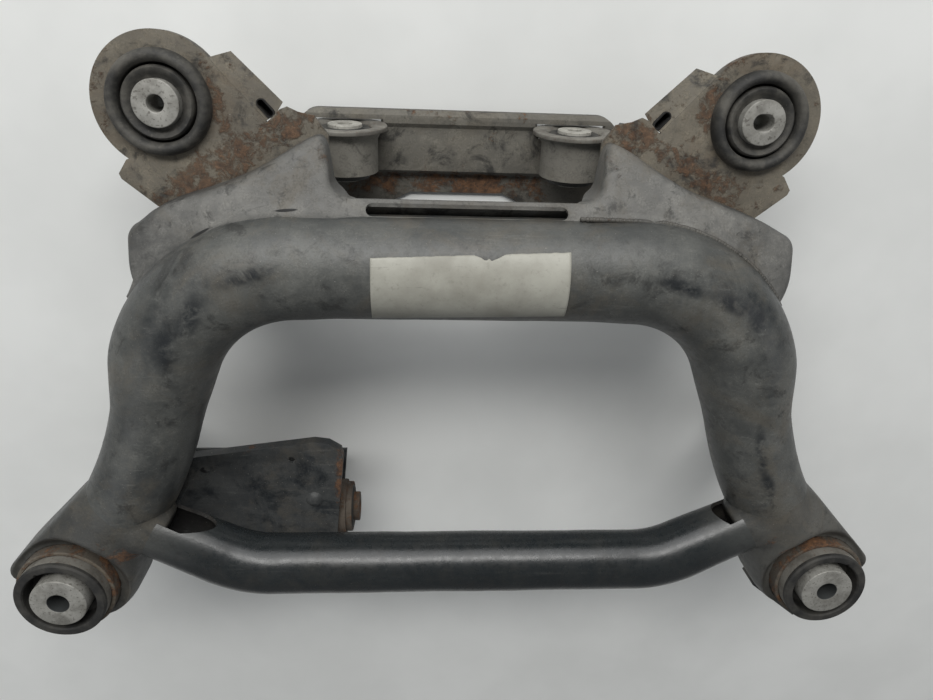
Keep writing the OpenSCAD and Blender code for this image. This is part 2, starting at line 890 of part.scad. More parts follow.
// Fork of an upper link: two drilled plates and a back, under the ear
module upper_link_bracket(s) {
    front = ear_y - 12 - link_w - plate_t;
    hole = [left_ear_x - 20, wing_z - 56];
    color("#3a3634")
        difference() {
            side(s) {
                for (y = [front, front + link_w + plate_t])
                    translate([0, y + plate_t, 0])
                        rotate([90, 0, 0])
                            linear_extrude(plate_t) {
                                translate([hole[0] - 20, hole[1]]) square([40, -hole[1] + seam_z - 20]);
                                translate(hole) circle(r = 20);
                            }
                translate([hole[0] - 20, front, hole[1]])
                    cube([plate_t, link_w + 2 * plate_t, -hole[1] + seam_z - 20]);
            }
            translate([s * hole[0], front - 1, hole[1]])
                rotate([-90, 0, 0])
                    cylinder(d = link_hole_d, h = link_w + 2 * plate_t + 2);
            difference() {
                translate([-far, 0, wing_z]) cube([2 * far, far, far]);
                panel_form(sheet_t + fit_gap);
            }
            side(s) corner_bar(fit_gap);
        }
}

// Fork of a lower link: two drilled plates and a back, hung under the leg
module lower_link_bracket(s) {
    front = brace_joint_y - 6;
    in_x = front_x - 38;
    out_x = front_x - 6;
    low = -ground_drop;
    under = shell_low - 12;
    hole = [front_x - 20, low + 32];
    color("#3a3634")
        side(s)
            difference() {
                union() {
                    for (y = [front, front + link_w + plate_t])
                        translate([0, y + plate_t, 0])
                            rotate([90, 0, 0])
                                linear_extrude(plate_t)
                                    polygon([
                                        [in_x, low], [out_x - 8, low], [out_x, low + 8], [out_x, low + 66],
                                        [front_x - 20, under], [front_x - 44, under],
                                        [front_x - 48, tube_z - 20],
                                        [front_x - 84, tube_z - 20], [in_x, low + 66]
                                    ]);
                    translate([in_x, front, low])
                        cube([plate_t, link_w + 2 * plate_t, under - low]);
                }
                translate([hole[0], front - 1, hole[1]])
                    rotate([-90, 0, 0])
                        cylinder(d = link_hole_d, h = link_w + 2 * plate_t + 2);
                sweep_bar(fit_gap);
                foot_bar(fit_gap);
            }
}

// Flat plate that lies against the front of the right cup
module right_front_tab() {
    face_deg = 231.7;
    reach = shell_r + (cup_c - [front_x, 0]) * [cos(face_deg), sin(face_deg)] + fit_gap;
    color("#3a3733")
        difference() {
            translate([front_x, 0, shell_low - 14])
                rotate([0, 0, face_deg]) {
                    translate([reach + 4, 0, 0]) cube([plate_t, 66, 26]);
                    translate([reach - 6, 0, 0]) cube([plate_t + 8, 16, 26]);
                }
            translate([cup_c[0], cup_c[1], shell_low - far / 2]) cylinder(r = shell_r + fit_gap, h = far);
        }
}

main_tube();
front_brace();
top_panel();
wing(-1);  // left_wing
wing(1);  // right_wing
front_shell(-1);  // left_front_shell
front_shell(1);  // right_front_shell
front_mount_tube(-1);  // left_front_mount_tube
front_mount_tube(1);  // right_front_mount_tube
front_bush_shell(-1);  // left_front_bush_shell
front_bush_shell(1);  // right_front_bush_shell
front_rubber(-1);  // left_front_rubber
front_rubber(1);  // right_front_rubber
front_sleeve(-1);  // left_front_sleeve
front_sleeve(1);  // right_front_sleeve
rear_mount_tube(-1);  // left_rear_mount_tube
rear_mount_tube(1);  // right_rear_mount_tube
rear_bush_shell(-1);  // left_rear_bush_shell
rear_bush_shell(1);  // right_rear_bush_shell
rear_rubber(-1);  // left_rear_rubber
rear_rubber(1);  // right_rear_rubber
rear_sleeve(-1);  // left_rear_sleeve
rear_sleeve(1);  // right_rear_sleeve
rear_crossmember();
side_plate(-1);  // left_side_plate
side_plate(1);  // right_side_plate
diff_tube(-1);  // left_diff_tube
diff_tube(1);  // right_diff_tube
diff_bush_shell(-1);  // left_diff_bush_shell
diff_bush_shell(1);  // right_diff_bush_shell
diff_rubber(-1);  // left_diff_rubber
diff_rubber(1);  // right_diff_rubber
diff_sleeve(-1);  // left_diff_sleeve
diff_sleeve(1);  // right_diff_sleeve
nose_bracket();
nose_tube();
nose_bush_shell();
nose_rubber();
nose_sleeve();
upper_link_bracket(-1);  // left_upper_link_bracket
upper_link_bracket(1);  // right_upper_link_bracket
lower_link_bracket(-1);  // left_lower_link_bracket
lower_link_bracket(1);  // right_lower_link_bracket
right_front_tab();
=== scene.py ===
import json
import math

import bmesh
import bpy
from mathutils import Matrix, Vector, geometry, noise


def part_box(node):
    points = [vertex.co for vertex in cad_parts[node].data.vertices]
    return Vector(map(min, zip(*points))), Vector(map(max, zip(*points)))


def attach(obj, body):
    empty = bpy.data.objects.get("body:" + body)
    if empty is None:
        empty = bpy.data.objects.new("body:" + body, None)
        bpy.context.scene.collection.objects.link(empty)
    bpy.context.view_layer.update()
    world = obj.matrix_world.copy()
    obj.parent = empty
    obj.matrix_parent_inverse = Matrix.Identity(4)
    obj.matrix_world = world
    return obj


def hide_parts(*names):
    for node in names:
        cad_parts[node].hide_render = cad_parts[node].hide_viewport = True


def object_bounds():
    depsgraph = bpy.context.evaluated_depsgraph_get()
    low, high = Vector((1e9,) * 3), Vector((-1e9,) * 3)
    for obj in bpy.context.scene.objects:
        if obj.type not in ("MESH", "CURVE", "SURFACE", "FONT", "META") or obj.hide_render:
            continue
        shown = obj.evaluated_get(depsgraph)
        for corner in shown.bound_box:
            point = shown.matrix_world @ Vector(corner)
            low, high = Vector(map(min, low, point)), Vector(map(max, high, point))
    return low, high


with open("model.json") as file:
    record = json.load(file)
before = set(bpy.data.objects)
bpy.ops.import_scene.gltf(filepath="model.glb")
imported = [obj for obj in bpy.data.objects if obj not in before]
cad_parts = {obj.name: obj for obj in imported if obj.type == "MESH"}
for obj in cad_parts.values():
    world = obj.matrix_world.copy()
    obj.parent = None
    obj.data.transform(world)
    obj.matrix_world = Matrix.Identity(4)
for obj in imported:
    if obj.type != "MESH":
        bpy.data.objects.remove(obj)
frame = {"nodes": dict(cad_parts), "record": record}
cadBox = [[float(v) for v in corner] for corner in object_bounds()]
nodes = frame["nodes"]
slotOf = {part["node"]: part["material_slot"] for part in frame["record"]["subparts"]}
sides = (("left", -1), ("right", 1))
scene = bpy.context.scene
scene.view_settings.view_transform = "Standard"
mm = 0.001


def linked(name, data):
    obj = bpy.data.objects.new(name, data)
    scene.collection.objects.link(obj)
    return obj


# camera and lamps
cameraSettings = {
    "place": (-0.0366, 0.4403, 0.4854),
    "looks": (0.0695, -0.3848, -0.9204),
    "up": (-0.0085, 0.9224, -0.3863),
    "focal": 700.0,     # pixels, in a frame 933 wide
    "frameWidth": 933.0,
    "sensor": 36.0,
    "near": 0.01,
}


def makeCamera(s):
    looks = Vector(s["looks"]).normalized()
    up = Vector(s["up"])
    up = (up - looks * up.dot(looks)).normalized()
    right = looks.cross(up)
    data = bpy.data.cameras.new("photoCamera")
    data.sensor_width = s["sensor"]
    data.lens = s["focal"] / s["frameWidth"] * s["sensor"]
    data.clip_start = s["near"]
    cam = linked("photoCamera", data)
    turn = Matrix((right, up, -looks)).transposed().to_4x4()
    cam.matrix_world = Matrix.Translation(s["place"]) @ turn
    scene.camera = cam


def makeLamp(name, place, aim, size, power, colour=(1, 1, 1)):
    data = bpy.data.lights.new(name, "AREA")
    data.shape = "RECTANGLE"
    data.size, data.size_y = size
    data.energy = power
    data.color = colour
    lamp = linked(name, data)
    direction = (Vector(aim) - Vector(place)).normalized()
    turn = direction.to_track_quat("-Z", "Y").to_matrix().to_4x4()
    lamp.matrix_world = Matrix.Translation(place) @ turn


makeCamera(cameraSettings)
makeLamp("ceilingLamp", (-0.3, 1.8, 1.7), (0, 0.2, -0.1), (2.4, 0.6), 46, (1.0, 0.99, 0.97))
makeLamp("wallLamp", (-0.1, 2.3, 0.95), (0, 0.2, 0.0), (2.8, 1.0), 26)
makeLamp("fillLamp", (-1.6, -0.5, 1.3), (0, 0.2, -0.1), (1.4, 1.4), 5, (0.97, 0.99, 1.0))
makeLamp("sideLamp", (1.7, 0.1, 1.1), (0, 0.2, -0.1), (1.2, 1.2), 3.5)
print("camera and lamps")


# short ways to wire shader nodes
class Graph:
    def __init__(self, name):
        self.mat = bpy.data.materials.new(name)
        self.mat.use_nodes = True
        self.tree = self.mat.node_tree
        self.tree.nodes.clear()
        out = self.add("ShaderNodeOutputMaterial")
        self.shader = self.add("ShaderNodeBsdfPrincipled")
        self.join(self.shader.outputs["BSDF"], out.inputs["Surface"])
        self.coords = self.add("ShaderNodeTexCoord").outputs["Object"]

    def add(self, kind, inputs=None, **values):
        node = self.tree.nodes.new(kind)
        for key, value in values.items():
            setattr(node, key, value)
        for key, value in (inputs or {}).items():
            node.inputs[key].default_value = value
        return node

    def join(self, socket, target):
        self.tree.links.new(socket, target)

    def feed(self, slots, values):
        for slot, value in zip(slots, values):
            if isinstance(value, tuple):
                slot.default_value = (*value, 1.0)
            elif isinstance(value, (int, float)):
                slot.default_value = value
            else:
                self.join(value, slot)

    def noise(self, scale, detail, rough, stretch=None, shift=0.0, distort=0.0):
        vector = self.coords
        if stretch or shift:
            move = {"Scale": stretch or (1, 1, 1), "Location": (shift, shift * 0.7, -shift)}
            place = self.add("ShaderNodeMapping", move)
            self.join(vector, place.inputs["Vector"])
            vector = place.outputs["Vector"]
        look = {"Scale": scale, "Detail": detail, "Roughness": rough, "Distortion": distort}
        tex = self.add("ShaderNodeTexNoise", look)
        self.join(vector, tex.inputs["Vector"])
        return tex.outputs["Fac"]

    def ramp(self, socket, low, high):
        span = {"From Min": low, "From Max": high}
        node = self.add("ShaderNodeMapRange", span, interpolation_type="SMOOTHSTEP")
        self.join(socket, node.inputs["Value"])
        return node.outputs["Result"]

    def math(self, kind, a, b, clamp):
        node = self.add("ShaderNodeMath", operation=kind, use_clamp=clamp)
        self.feed(node.inputs, (a, b))
        return node.outputs["Value"]

    def times(self, a, b, clamp=False):
        return self.math("MULTIPLY", a, b, clamp)

    def plus(self, a, b, clamp=False):
        return self.math("ADD", a, b, clamp)

    def scaled(self, socket, gain, base, clamp=False):
        return self.plus(self.times(socket, gain), base, clamp)

    def blend(self, fac, a, b):
        node = self.add("ShaderNodeMix", data_type="RGBA")
        self.feed([s for s in node.inputs if s.enabled], (fac, a, b))
        return [s for s in node.outputs if s.enabled][0]

    def tint(self, colour, mask, amount, shade):
        return self.blend(self.times(mask, amount), colour, shade)

    def inside(self, point, size, turn=0.0):
        # distance in an ellipsoid about a point in millimetres, 1 at its skin
        shape = {"Location": [v * mm for v in point], "Scale": [v * mm for v in size]}
        shape["Rotation"] = (0, 0, math.radians(turn))
        place = self.add("ShaderNodeMapping", shape, vector_type="TEXTURE")
        self.join(self.coords, place.inputs["Vector"])
        gap = self.add("ShaderNodeVectorMath", operation="LENGTH")
        self.join(place.outputs["Vector"], gap.inputs[0])
        return gap.outputs["Value"]

    def spot(self, point, size, turn):
        return self.ramp(self.inside(point, size, turn), 1.0, 0.7)

    def near(self, point, size, turn):
        return self.ramp(self.inside(point, size, turn), 1.0, 0.25)

    def bump(self, height, strength, distance, under=None):
        node = self.add("ShaderNodeBump", {"Strength": strength, "Distance": distance})
        self.join(height, node.inputs["Height"])
        if under is not None:
            self.join(under, node.inputs["Normal"])
        return node.outputs["Normal"]

    def finish(self, colour, rough, normal):
        for name, socket in (("Base Color", colour), ("Roughness", rough), ("Normal", normal)):
            self.join(socket, self.shader.inputs[name])
        return self.mat


# what a coat has when its own dictionary says nothing else
usualCoat = {
    "patchy": 0.3, "stains": 0.3, "stainColour": (0.1, 0.086, 0.064),
    "streaks": 0.3, "streakColour": (0.2, 0.2, 0.185),
    "grime": 0.5, "grimeScale": 58, "grimeEdge": 0.53, "grimeColour": (0.014, 0.014, 0.013),
    "rustScale": 44, "rustDark": (0.04, 0.021, 0.013), "rustLight": (0.2, 0.095, 0.042),
    "rustEdge": 0.6, "speckle": 0.5, "chips": 0.3, "chipColour": (0.32, 0.31, 0.28),
    "smearColour": (0.008, 0.01, 0.012), "grain": 0.25, "waves": 0.15,
    "dustAt": [], "rustAt": [], "smears": [], "marks": [],
}


def agedCoat(name, own):
    s = {**usualCoat, **own}
    g = Graph(name)
    normal = g.add("ShaderNodeNewGeometry")
    parts = g.add("ShaderNodeSeparateXYZ")
    g.join(normal.outputs["Normal"], parts.inputs[0])
    faceUp = g.ramp(parts.outputs["Z"], -0.2, 0.95)

    broad = g.noise(8, 4, 0.55)
    mid = g.noise(36, 7, 0.66, shift=5.1)
    fine = g.noise(170, 6, 0.65, shift=1.3)
    speck = g.noise(620, 4, 0.6, shift=2.1)

    # film of dust, thicker on what looks up
    film = g.scaled(faceUp, 0.6, 0.4)
    film = g.times(film, g.scaled(g.ramp(broad, 0.3, 0.7), 0.35, 0.65))
    film = g.times(film, g.scaled(g.ramp(mid, 0.34, 0.68), s["patchy"], 0.85))
    film = g.times(film, g.scaled(g.ramp(fine, 0.3, 0.7), 0.45, 0.7))
    film = g.times(film, s["dust"], clamp=True)
    for point, size, turn, gain in s["dustAt"]:
        film = g.plus(film, g.times(g.near(point, size, turn), gain), clamp=True)
    colour = g.blend(film, s["base"], s["dustColour"])

    # brown stains, rubbed streaks and dark grime
    stain = g.ramp(g.noise(17, 9, 0.72, shift=6.3, distort=0.6), 0.46, 0.66)
    colour = g.tint(colour, stain, s["stains"], s["stainColour"])
    streak = g.ramp(g.noise(60, 9, 0.8, stretch=(0.3, 4.0, 4.0), shift=0.4), 0.55, 0.7)
    colour = g.tint(colour, streak, s["streaks"], s["streakColour"])
    grime = g.ramp(g.noise(s["grimeScale"], 9, 0.72, shift=8.2, distort=0.4), s["grimeEdge"], 0.66)
    colour = g.tint(colour, grime, s["grime"], s["grimeColour"])

    # rust patches, pulled towards the listed places
    field = g.noise(s["rustScale"], 10, 0.76, shift=3.7, distort=0.3)
    for point, reach, turn, pull in s["rustAt"]:
        field = g.plus(field, g.times(g.near(point, reach, turn), pull))
    rust = g.ramp(field, s["rustEdge"], s["rustEdge"] + 0.12)
    rustTone = g.blend(g.ramp(fine, 0.34, 0.66), s["rustDark"], s["rustLight"])
    colour = g.tint(colour, rust, s["rust"], rustTone)

    # fine speckle, small pale chips, dark smears and single spots; the near-black spots are painted shade
    # in slits, a hole and a hollow
    tone = g.tint(colour, g.ramp(speck, 0.36, 0.64), s["speckle"], (0.0, 0.0, 0.0))
    colour = g.tint(colour, g.ramp(fine, 0.42, 0.58), 0.55, tone)
    colour = g.tint(colour, g.ramp(speck, 0.66, 0.73), s["chips"], s["chipColour"])
    ragged = g.ramp(g.noise(42, 8, 0.74, shift=4.4, distort=0.5), 0.38, 0.56)
    for point, size, turn in s["smears"]:
        smear = g.times(g.near(point, size, turn), ragged)
        colour = g.tint(colour, smear, 0.95, s["smearColour"])
    # single spots: a real pale spot, and near-black painted shade
    for point, size, turn, shade in s["marks"]:
        colour = g.blend(g.spot(point, size, turn), colour, shade)

    rough = g.scaled(film, 0.4, s["rough"])
    rough = g.plus(rough, g.times(rust, 0.35))
    rough = g.plus(rough, g.times(g.ramp(fine, 0.3, 0.7), 0.1), clamp=True)
    grain = g.bump(speck, s["grain"], 0.0006)
    pits = g.bump(g.times(rust, fine), 0.7, 0.0016, grain)
    return g.finish(colour, rough, g.bump(mid, s["waves"], 0.0025, pits))


def bareMetal(name, s):
    g = Graph(name)
    broad = g.noise(60, 6, 0.65)
    fine = g.noise(420, 5, 0.6, shift=1.1)
    colour = g.blend(g.ramp(broad, 0.35, 0.7), s["base"], s["dull"])
    colour = g.tint(colour, g.ramp(fine, 0.56, 0.66), s["dirt"], s["dirtColour"])
    # painted shade: the listed bores are coloured near-black within their radius
    for point, r in s.get("bores", []):
        boreShade = g.ramp(g.inside(point, (r, r, 1000)), 1.02, 0.99)
        colour = g.blend(boreShade, colour, (0.035, 0.038, 0.038))
    g.shader.inputs["Metallic"].default_value = s["metal"]
    return g.finish(colour, g.scaled(broad, 0.35, s["rough"], clamp=True), g.bump(fine, 0.25, 0.0005))


def oldRubber(name, s):
    g = Graph(name)
    broad = g.noise(45, 6, 0.65)
    fine = g.noise(380, 5, 0.6, shift=0.9)
    colour = g.tint(s["base"], g.ramp(broad, 0.35, 0.7), s["dust"], s["dustColour"])
    colour = g.tint(colour, g.ramp(fine, 0.6, 0.7), 0.3, s["dustColour"])
    return g.finish(colour, g.scaled(broad, 0.25, 0.6, clamp=True), g.bump(fine, 0.3, 0.0006))


def both(point, size, turn, *rest):
    # the same patch on the right and on the left
    x, y, z = point
    return [(point, size, turn, *rest), ((-x, y, z), size, -turn, *rest)]


# finishes, one dictionary each; a patch has place, reach, turn, strength or shade
tubeFinish = {
    "base": (0.011, 0.014, 0.016), "dustColour": (0.208, 0.208, 0.188), "dust": 0.37, "rough": 0.31,
    "rust": 0.5, "rustEdge": 0.68, "streaks": 0.34, "chips": 0.4,
    "grime": 0.65, "grimeScale": 40, "stains": 0.45, "patchy": 0.65,
    "dustAt": [
        ((-275, 120, -20), (70, 110, 70), 0, -0.09), ((224, 272, -10), (30, 55, 50), 35, -0.13),
        ((178, 288, -4), (50, 14, 50), -16, -0.13), ((243, 220, -12), (18, 60, 50), 10, -0.14),
        ((-229, 239, -10), (20, 50, 50), -14, -0.13), ((-163, 294, -4), (45, 14, 50), 14, -0.1),
        ((205, 250, -8), (30, 22, 50), -45, 0.13), ((180, 255, -10), (50, 16, 50), -20, 0.06),
        ((-175, 262, -8), (45, 22, 50), 35, 0.09),
    ],
    "smears": [
        ((-157, 293, -2), (30, 7, 30), 20), ((-200, 262, -3), (12, 30, 30), -25),
        ((-220, 238, -4), (12, 30, 30), -15), ((158, 290, -2), (30, 8, 30), -15),
        ((200, 276, -3), (30, 10, 30), -25), ((222, 262, -4), (12, 20, 30), 30),
        ((250, 145, -4), (7, 35, 30), 15), ((262, 113, -4), (8, 20, 30), 20),
    ],
    "rustAt": [((270, 50, -20), (35, 30, 40), 0, 0.12), ((-280, 40, -20), (30, 25, 40), 0, 0.14)],
}
braceFinish = {
    "base": (0.004, 0.007, 0.009), "dustColour": (0.17, 0.17, 0.155), "dust": 0.08, "rough": 0.22,
    "rust": 0.4, "rustEdge": 0.73, "streaks": 0.08, "chips": 0.15, "grime": 0.4, "stains": 0.1,
    "grain": 0.12, "waves": 0.05,
    "dustAt": both((283, 70, -30), (85, 85, 85), 0, 0.2),
    "marks": [((-218, -8.5, -42), (8, 5, 10), 0, (0.3, 0.31, 0.16))],
}
# near-black painted shade for the inner wall and cut rim of the brace and for the cups behind the wing
# holes
paintedShadeInsideFinish = {
    "base": (0.003, 0.003, 0.003), "dustColour": (0.016, 0.014, 0.012), "dust": 0.4, "rough": 0.7,
    "rust": 0.15,
}
panelFinish = {
    "base": (0.024, 0.025, 0.025), "dustColour": (0.235, 0.23, 0.212), "dust": 0.66, "rough": 0.42,
    "rust": 0.65, "rustEdge": 0.65, "streaks": 0.3, "chips": 0.35, "grime": 0.65,
    "stains": 0.55, "patchy": 0.55,
    "dustAt": [((-235, 300, -50), (100, 90, 60), 0, -0.2), ((235, 300, -50), (100, 90, 60), 0, -0.16)],
    "rustAt": [
        *both((116, 374, -50), (30, 20, 30), 0, 0.12),
        *both((180, 345, -60), (70, 12, 30), -29, 0.1),
    ],
    "marks": [
        # two slits in near-black painted shade
        ((-133.5, 333, -34), (9.5, 1.1, 20), 4, (0.006, 0.006, 0.006)),
        ((-196, 315.5, -34), (9.5, 1.1, 20), 29, (0.006, 0.006, 0.006)),
    ],
}
wingFinish = {
    "base": (0.026, 0.024, 0.02), "dustColour": (0.215, 0.19, 0.146), "dust": 0.66, "rough": 0.5,
    "rust": 0.75, "rustEdge": 0.58, "rustScale": 80, "rustLight": (0.155, 0.083, 0.045),
    "streaks": 0.2, "chips": 0.45, "grime": 0.85, "grimeScale": 38, "grimeEdge": 0.5,
    "stains": 0.5, "stainColour": (0.1, 0.074, 0.048), "patchy": 0.5,
    "rustAt": [
        ((-200, 352, -76), (90, 22, 30), 30, 0.16), ((200, 352, -76), (90, 22, 30), -30, 0.13),
        ((-130, 390, -76), (40, 20, 30), 20, 0.15), ((130, 390, -76), (40, 20, 30), -20, 0.13),
        ((-187, 402, -76), (12, 45, 30), 15, 0.14), ((188, 410, -76), (12, 45, 30), -15, 0.16),
        ((-275, 390, -76), (12, 50, 30), 0, 0.1), ((215, 455, -76), (40, 14, 30), 25, 0.12),
    ],
}
shellFinish = {
    "base": (0.012, 0.014, 0.015), "dustColour": (0.19, 0.182, 0.158), "dust": 0.36, "rough": 0.36,
    "rust": 0.8, "rustEdge": 0.66, "streaks": 0.15, "chips": 0.35, "grime": 0.55, "stains": 0.5,
    "rustAt": [
        *both((340, 0, -20), (58, 58, 50), 0, 0.17),
        ((280, 45, -20), (40, 30, 50), 0, 0.15), ((-290, 45, -20), (35, 25, 50), 0, 0.2),
    ],
    "dustAt": [
        ((-255, 55, -20), (40, 40, 50), 0, -0.1), ((255, 55, -20), (40, 40, 50), 0, -0.05),
        ((-320, 50, -20), (70, 60, 60), 0, -0.08), ((320, 30, -20), (90, 80, 70), 0, 0.16),
    ],
    # painted shade, near-black, in the hollow between brace and leg on both sides
    "marks": both((253.8, 50.8, -31), (14, 21.5, 21.5), 28, (0.004, 0.004, 0.004)),
}
bandFinish = {
    "base": (0.04, 0.033, 0.027), "dustColour": (0.17, 0.145, 0.11), "dust": 0.7, "rough": 0.6,
    "rust": 0.9, "rustEdge": 0.46, "chips": 0.3, "grime": 0.5,
}
crossFinish = {
    "base": (0.028, 0.027, 0.025), "dustColour": (0.2, 0.188, 0.158), "dust": 0.75, "rough": 0.5,
    "rust": 0.85, "rustEdge": 0.6, "chips": 0.3, "grime": 0.8, "grimeScale": 38, "grimeEdge": 0.5,
    "stains": 0.45, "patchy": 0.5,
    "rustAt": [((0, 325, -200), (130, 30, 30), 0, 0.2), ((0, 395, -190), (150, 10, 20), 0, 0.06)],
}
canFinish = {
    "base": (0.15, 0.142, 0.124), "dustColour": (0.3, 0.288, 0.25), "dust": 0.85, "rough": 0.5,
    "rust": 0.45, "rustEdge": 0.63, "chips": 0.25, "grime": 0.5, "stains": 0.35,
}
noseFinish = {
    "base": (0.04, 0.03, 0.023), "dustColour": (0.13, 0.105, 0.08), "dust": 0.6, "rough": 0.58,
    "rust": 0.85, "rustEdge": 0.5, "chips": 0.2, "grime": 0.7,
}
bracketFinish = {
    "base": (0.005, 0.008, 0.011), "dustColour": (0.16, 0.163, 0.155), "dust": 0.32, "rough": 0.34,
    "rust": 0.8, "rustEdge": 0.65, "chips": 0.7, "grime": 0.9, "grimeScale": 26, "grimeEdge": 0.48,
    "grimeColour": (0.005, 0.008, 0.011), "stains": 0.4, "patchy": 0.6,
    # painted shade, near-black, for a hole in the bracket
    "marks": [((-242, 62.7, -112), (4.8, 3.6, 12), 0, (0.004, 0.004, 0.004))],
    "dustAt": [((-250, 45, -112), (50, 30, 40), 0, 0.2)],
    "rustAt": [((-108, 50, -113), (18, 60, 70), 0, 0.26), ((-200, 87, -111), (80, 14, 30), 8, 0.08)],
}
weldFinish = {
    "base": (0.014, 0.014, 0.014), "dustColour": (0.18, 0.172, 0.15), "dust": 0.5, "rough": 0.44,
    "rust": 0.6, "rustEdge": 0.6, "chips": 0.2, "stains": 0.4,
}
sleeveFinish = {
    "base": (0.31, 0.305, 0.28), "dull": (0.16, 0.155, 0.138), "dirtColour": (0.05, 0.043, 0.034),
    "rough": 0.42, "dirt": 0.6, "metal": 0.3,
    # the two bores are darkened with painted shade
    "bores": [((-340, 0, -30), 9.3), ((340, 0, -30), 9.3)],
}
diffSleeveFinish = {
    "base": (0.4, 0.39, 0.35), "dull": (0.22, 0.212, 0.188), "dirtColour": (0.07, 0.06, 0.046),
    "rough": 0.42, "dirt": 0.5, "metal": 0.3,
}
bushFinish = {
    "base": (0.19, 0.182, 0.16), "dull": (0.1, 0.093, 0.08), "dirtColour": (0.09, 0.05, 0.027),
    "rough": 0.5, "dirt": 0.5, "metal": 0.25,
}
rubberFinish = {"base": (0.01, 0.01, 0.0095), "dustColour": (0.085, 0.08, 0.068), "dust": 0.45}
rearRubberFinish = {"base": (0.014, 0.014, 0.013), "dustColour": (0.13, 0.122, 0.104), "dust": 0.6}

finishes = {
    "tube": agedCoat("tubeCoat", tubeFinish),
    "brace": agedCoat("braceCoat", braceFinish),
    "panel": agedCoat("panelCoat", panelFinish),
    "wing": agedCoat("wingCoat", wingFinish),
    "shell": agedCoat("shellCoat", shellFinish),
    "band": agedCoat("bandCoat", bandFinish),
    "cross": agedCoat("crossmemberCoat", crossFinish),
    "can": agedCoat("canCoat", canFinish),
    "nose": agedCoat("noseRust", noseFinish),
    "bracket": agedCoat("bracketCoat", bracketFinish),
    "inside": agedCoat("tubeInside", paintedShadeInsideFinish),
    "weld": agedCoat("weldSteel", weldFinish),
    "sleeve": bareMetal("sleeveMetal", sleeveFinish),
    "diffSleeve": bareMetal("diffSleeveMetal", diffSleeveFinish),
    "bush": bareMetal("bushSteel", bushFinish),
    "rubber": oldRubber("mountRubber", rubberFinish),
    "rearRubber": oldRubber("rearMountRubber", rearRubberFinish),
}


# finish by the end of a node's name, the first that fits
nameEndings = {
    "nose_tube": "nose", "nose_bush_shell": "nose", "nose_sleeve": "nose",
    "rear_rubber": "rearRubber", "rubber": "rubber", "diff_sleeve": "diffSleeve", "sleeve": "sleeve",
    "bush_shell": "bush", "wing": "wing", "front_shell": "shell", "front_mount_tube": "band",
    "diff_tube": "can", "rear_crossmember": "cross",
    "main_tube": "tube", "front_brace": "brace", "top_panel": "panel",
}


def finishOf(node):
    return next((finish for ending, finish in nameEndings.items() if node.endswith(ending)), "bracket")


def dress(obj, finish):
    obj.data.materials.clear()
    obj.data.materials.append(finishes[finish])


for node, obj in nodes.items():
    dress(obj, finishOf(node))
print("finishes on", len(nodes), "nodes")


# helpers for meshes and pieces
def smoothFaces(mesh):
    mesh.polygons.foreach_set("use_smooth", [True] * len(mesh.polygons))


def newPiece(name, verts, faces, finish):
    mesh = bpy.data.meshes.new(name)
    mesh.from_pydata([Vector(v) for v in verts], [], faces)
    mesh.validate()
    smoothFaces(mesh)
    obj = linked(name, mesh)
    dress(obj, finish)
    return obj


def quads(rows, count, closed=False):
    # faces between rows of points, each row a closed loop
    faces = []
    for i in range(rows if closed else rows - 1):
        j = (i + 1) % rows
        for k in range(count):
            n = (k + 1) % count
            faces.append((i * count + k, j * count + k, j * count + n, i * count + n))
    return faces


def opened(mesh):
    bm = bmesh.new()
    bm.from_mesh(mesh)
    return bm


def stored(bm, mesh):
    bm.to_mesh(mesh)
    bm.free()


def sharpen(obj, angle):
    obj.data.set_sharp_from_angle(angle=math.radians(angle))


def outward(obj, sharp):
    # faces look out, and edges above the angle stay sharp
    bm = opened(obj.data)
    bmesh.ops.recalc_face_normals(bm, faces=bm.faces)
    stored(bm, obj.data)
    sharpen(obj, sharp)


def bake(obj):
    # modifiers become plain mesh
    graph = bpy.context.evaluated_depsgraph_get()
    mesh = bpy.data.meshes.new_from_object(obj.evaluated_get(graph))
    old = obj.data
    obj.modifiers.clear()
    obj.data = mesh
    if old.users == 0:
        bpy.data.meshes.remove(old)


def thicken(obj, thickness):
    sheet = obj.modifiers.new("sheet", "SOLIDIFY")
    sheet.thickness = thickness * mm
    sheet.offset = -1
    return sheet


def settle(obj, slot, *replaced):
    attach(obj, "root")
    if replaced:
        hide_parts(*replaced)


def pieceName(node):
    head, *rest = node.split("_")
    return head + "".join(word.capitalize() for word in rest)


def copyNode(node):
    bm = opened(nodes[node].data)
    bmesh.ops.remove_doubles(bm, verts=bm.verts, dist=0.00001)
    bmesh.ops.dissolve_limit(bm, angle_limit=math.radians(1.5), verts=bm.verts, edges=bm.edges)
    mesh = bpy.data.meshes.new(pieceName(node))
    stored(bm, mesh)
    obj = linked(pieceName(node), mesh)
    dress(obj, finishOf(node))
    return obj


# bent tubes
tubeRun = {
    "height": -38.0, "crossR": 40.0, "bendR": 41.5, "legR": 35.5,
    "frontX": 340.0, "bend": 112.0, "bendDeg": 76.0, "legRun": 33.0,
    "sweep": 350.0, "sweepDeg": 22.0, "footRun": 64.0, "footStop": 46.0, "mountR": 41.65,
    "around": 96, "dents": 0.35, "steps": (28, 40, 8, 34, 7),     # cross run, bend, leg, sweep, foot
    "swellFrom": 34.0, "swellOver": 40.0, "slimFrom": 14.0, "slimOver": 62.0,
}


def polar(deg):
    return Vector((math.cos(math.radians(deg)), math.sin(math.radians(deg))))


def leftOf(way):
    return Vector((-way.y, way.x))


def ease(t):
    t = min(max(t, 0.0), 1.0)
    return t * t * (3 - 2 * t)


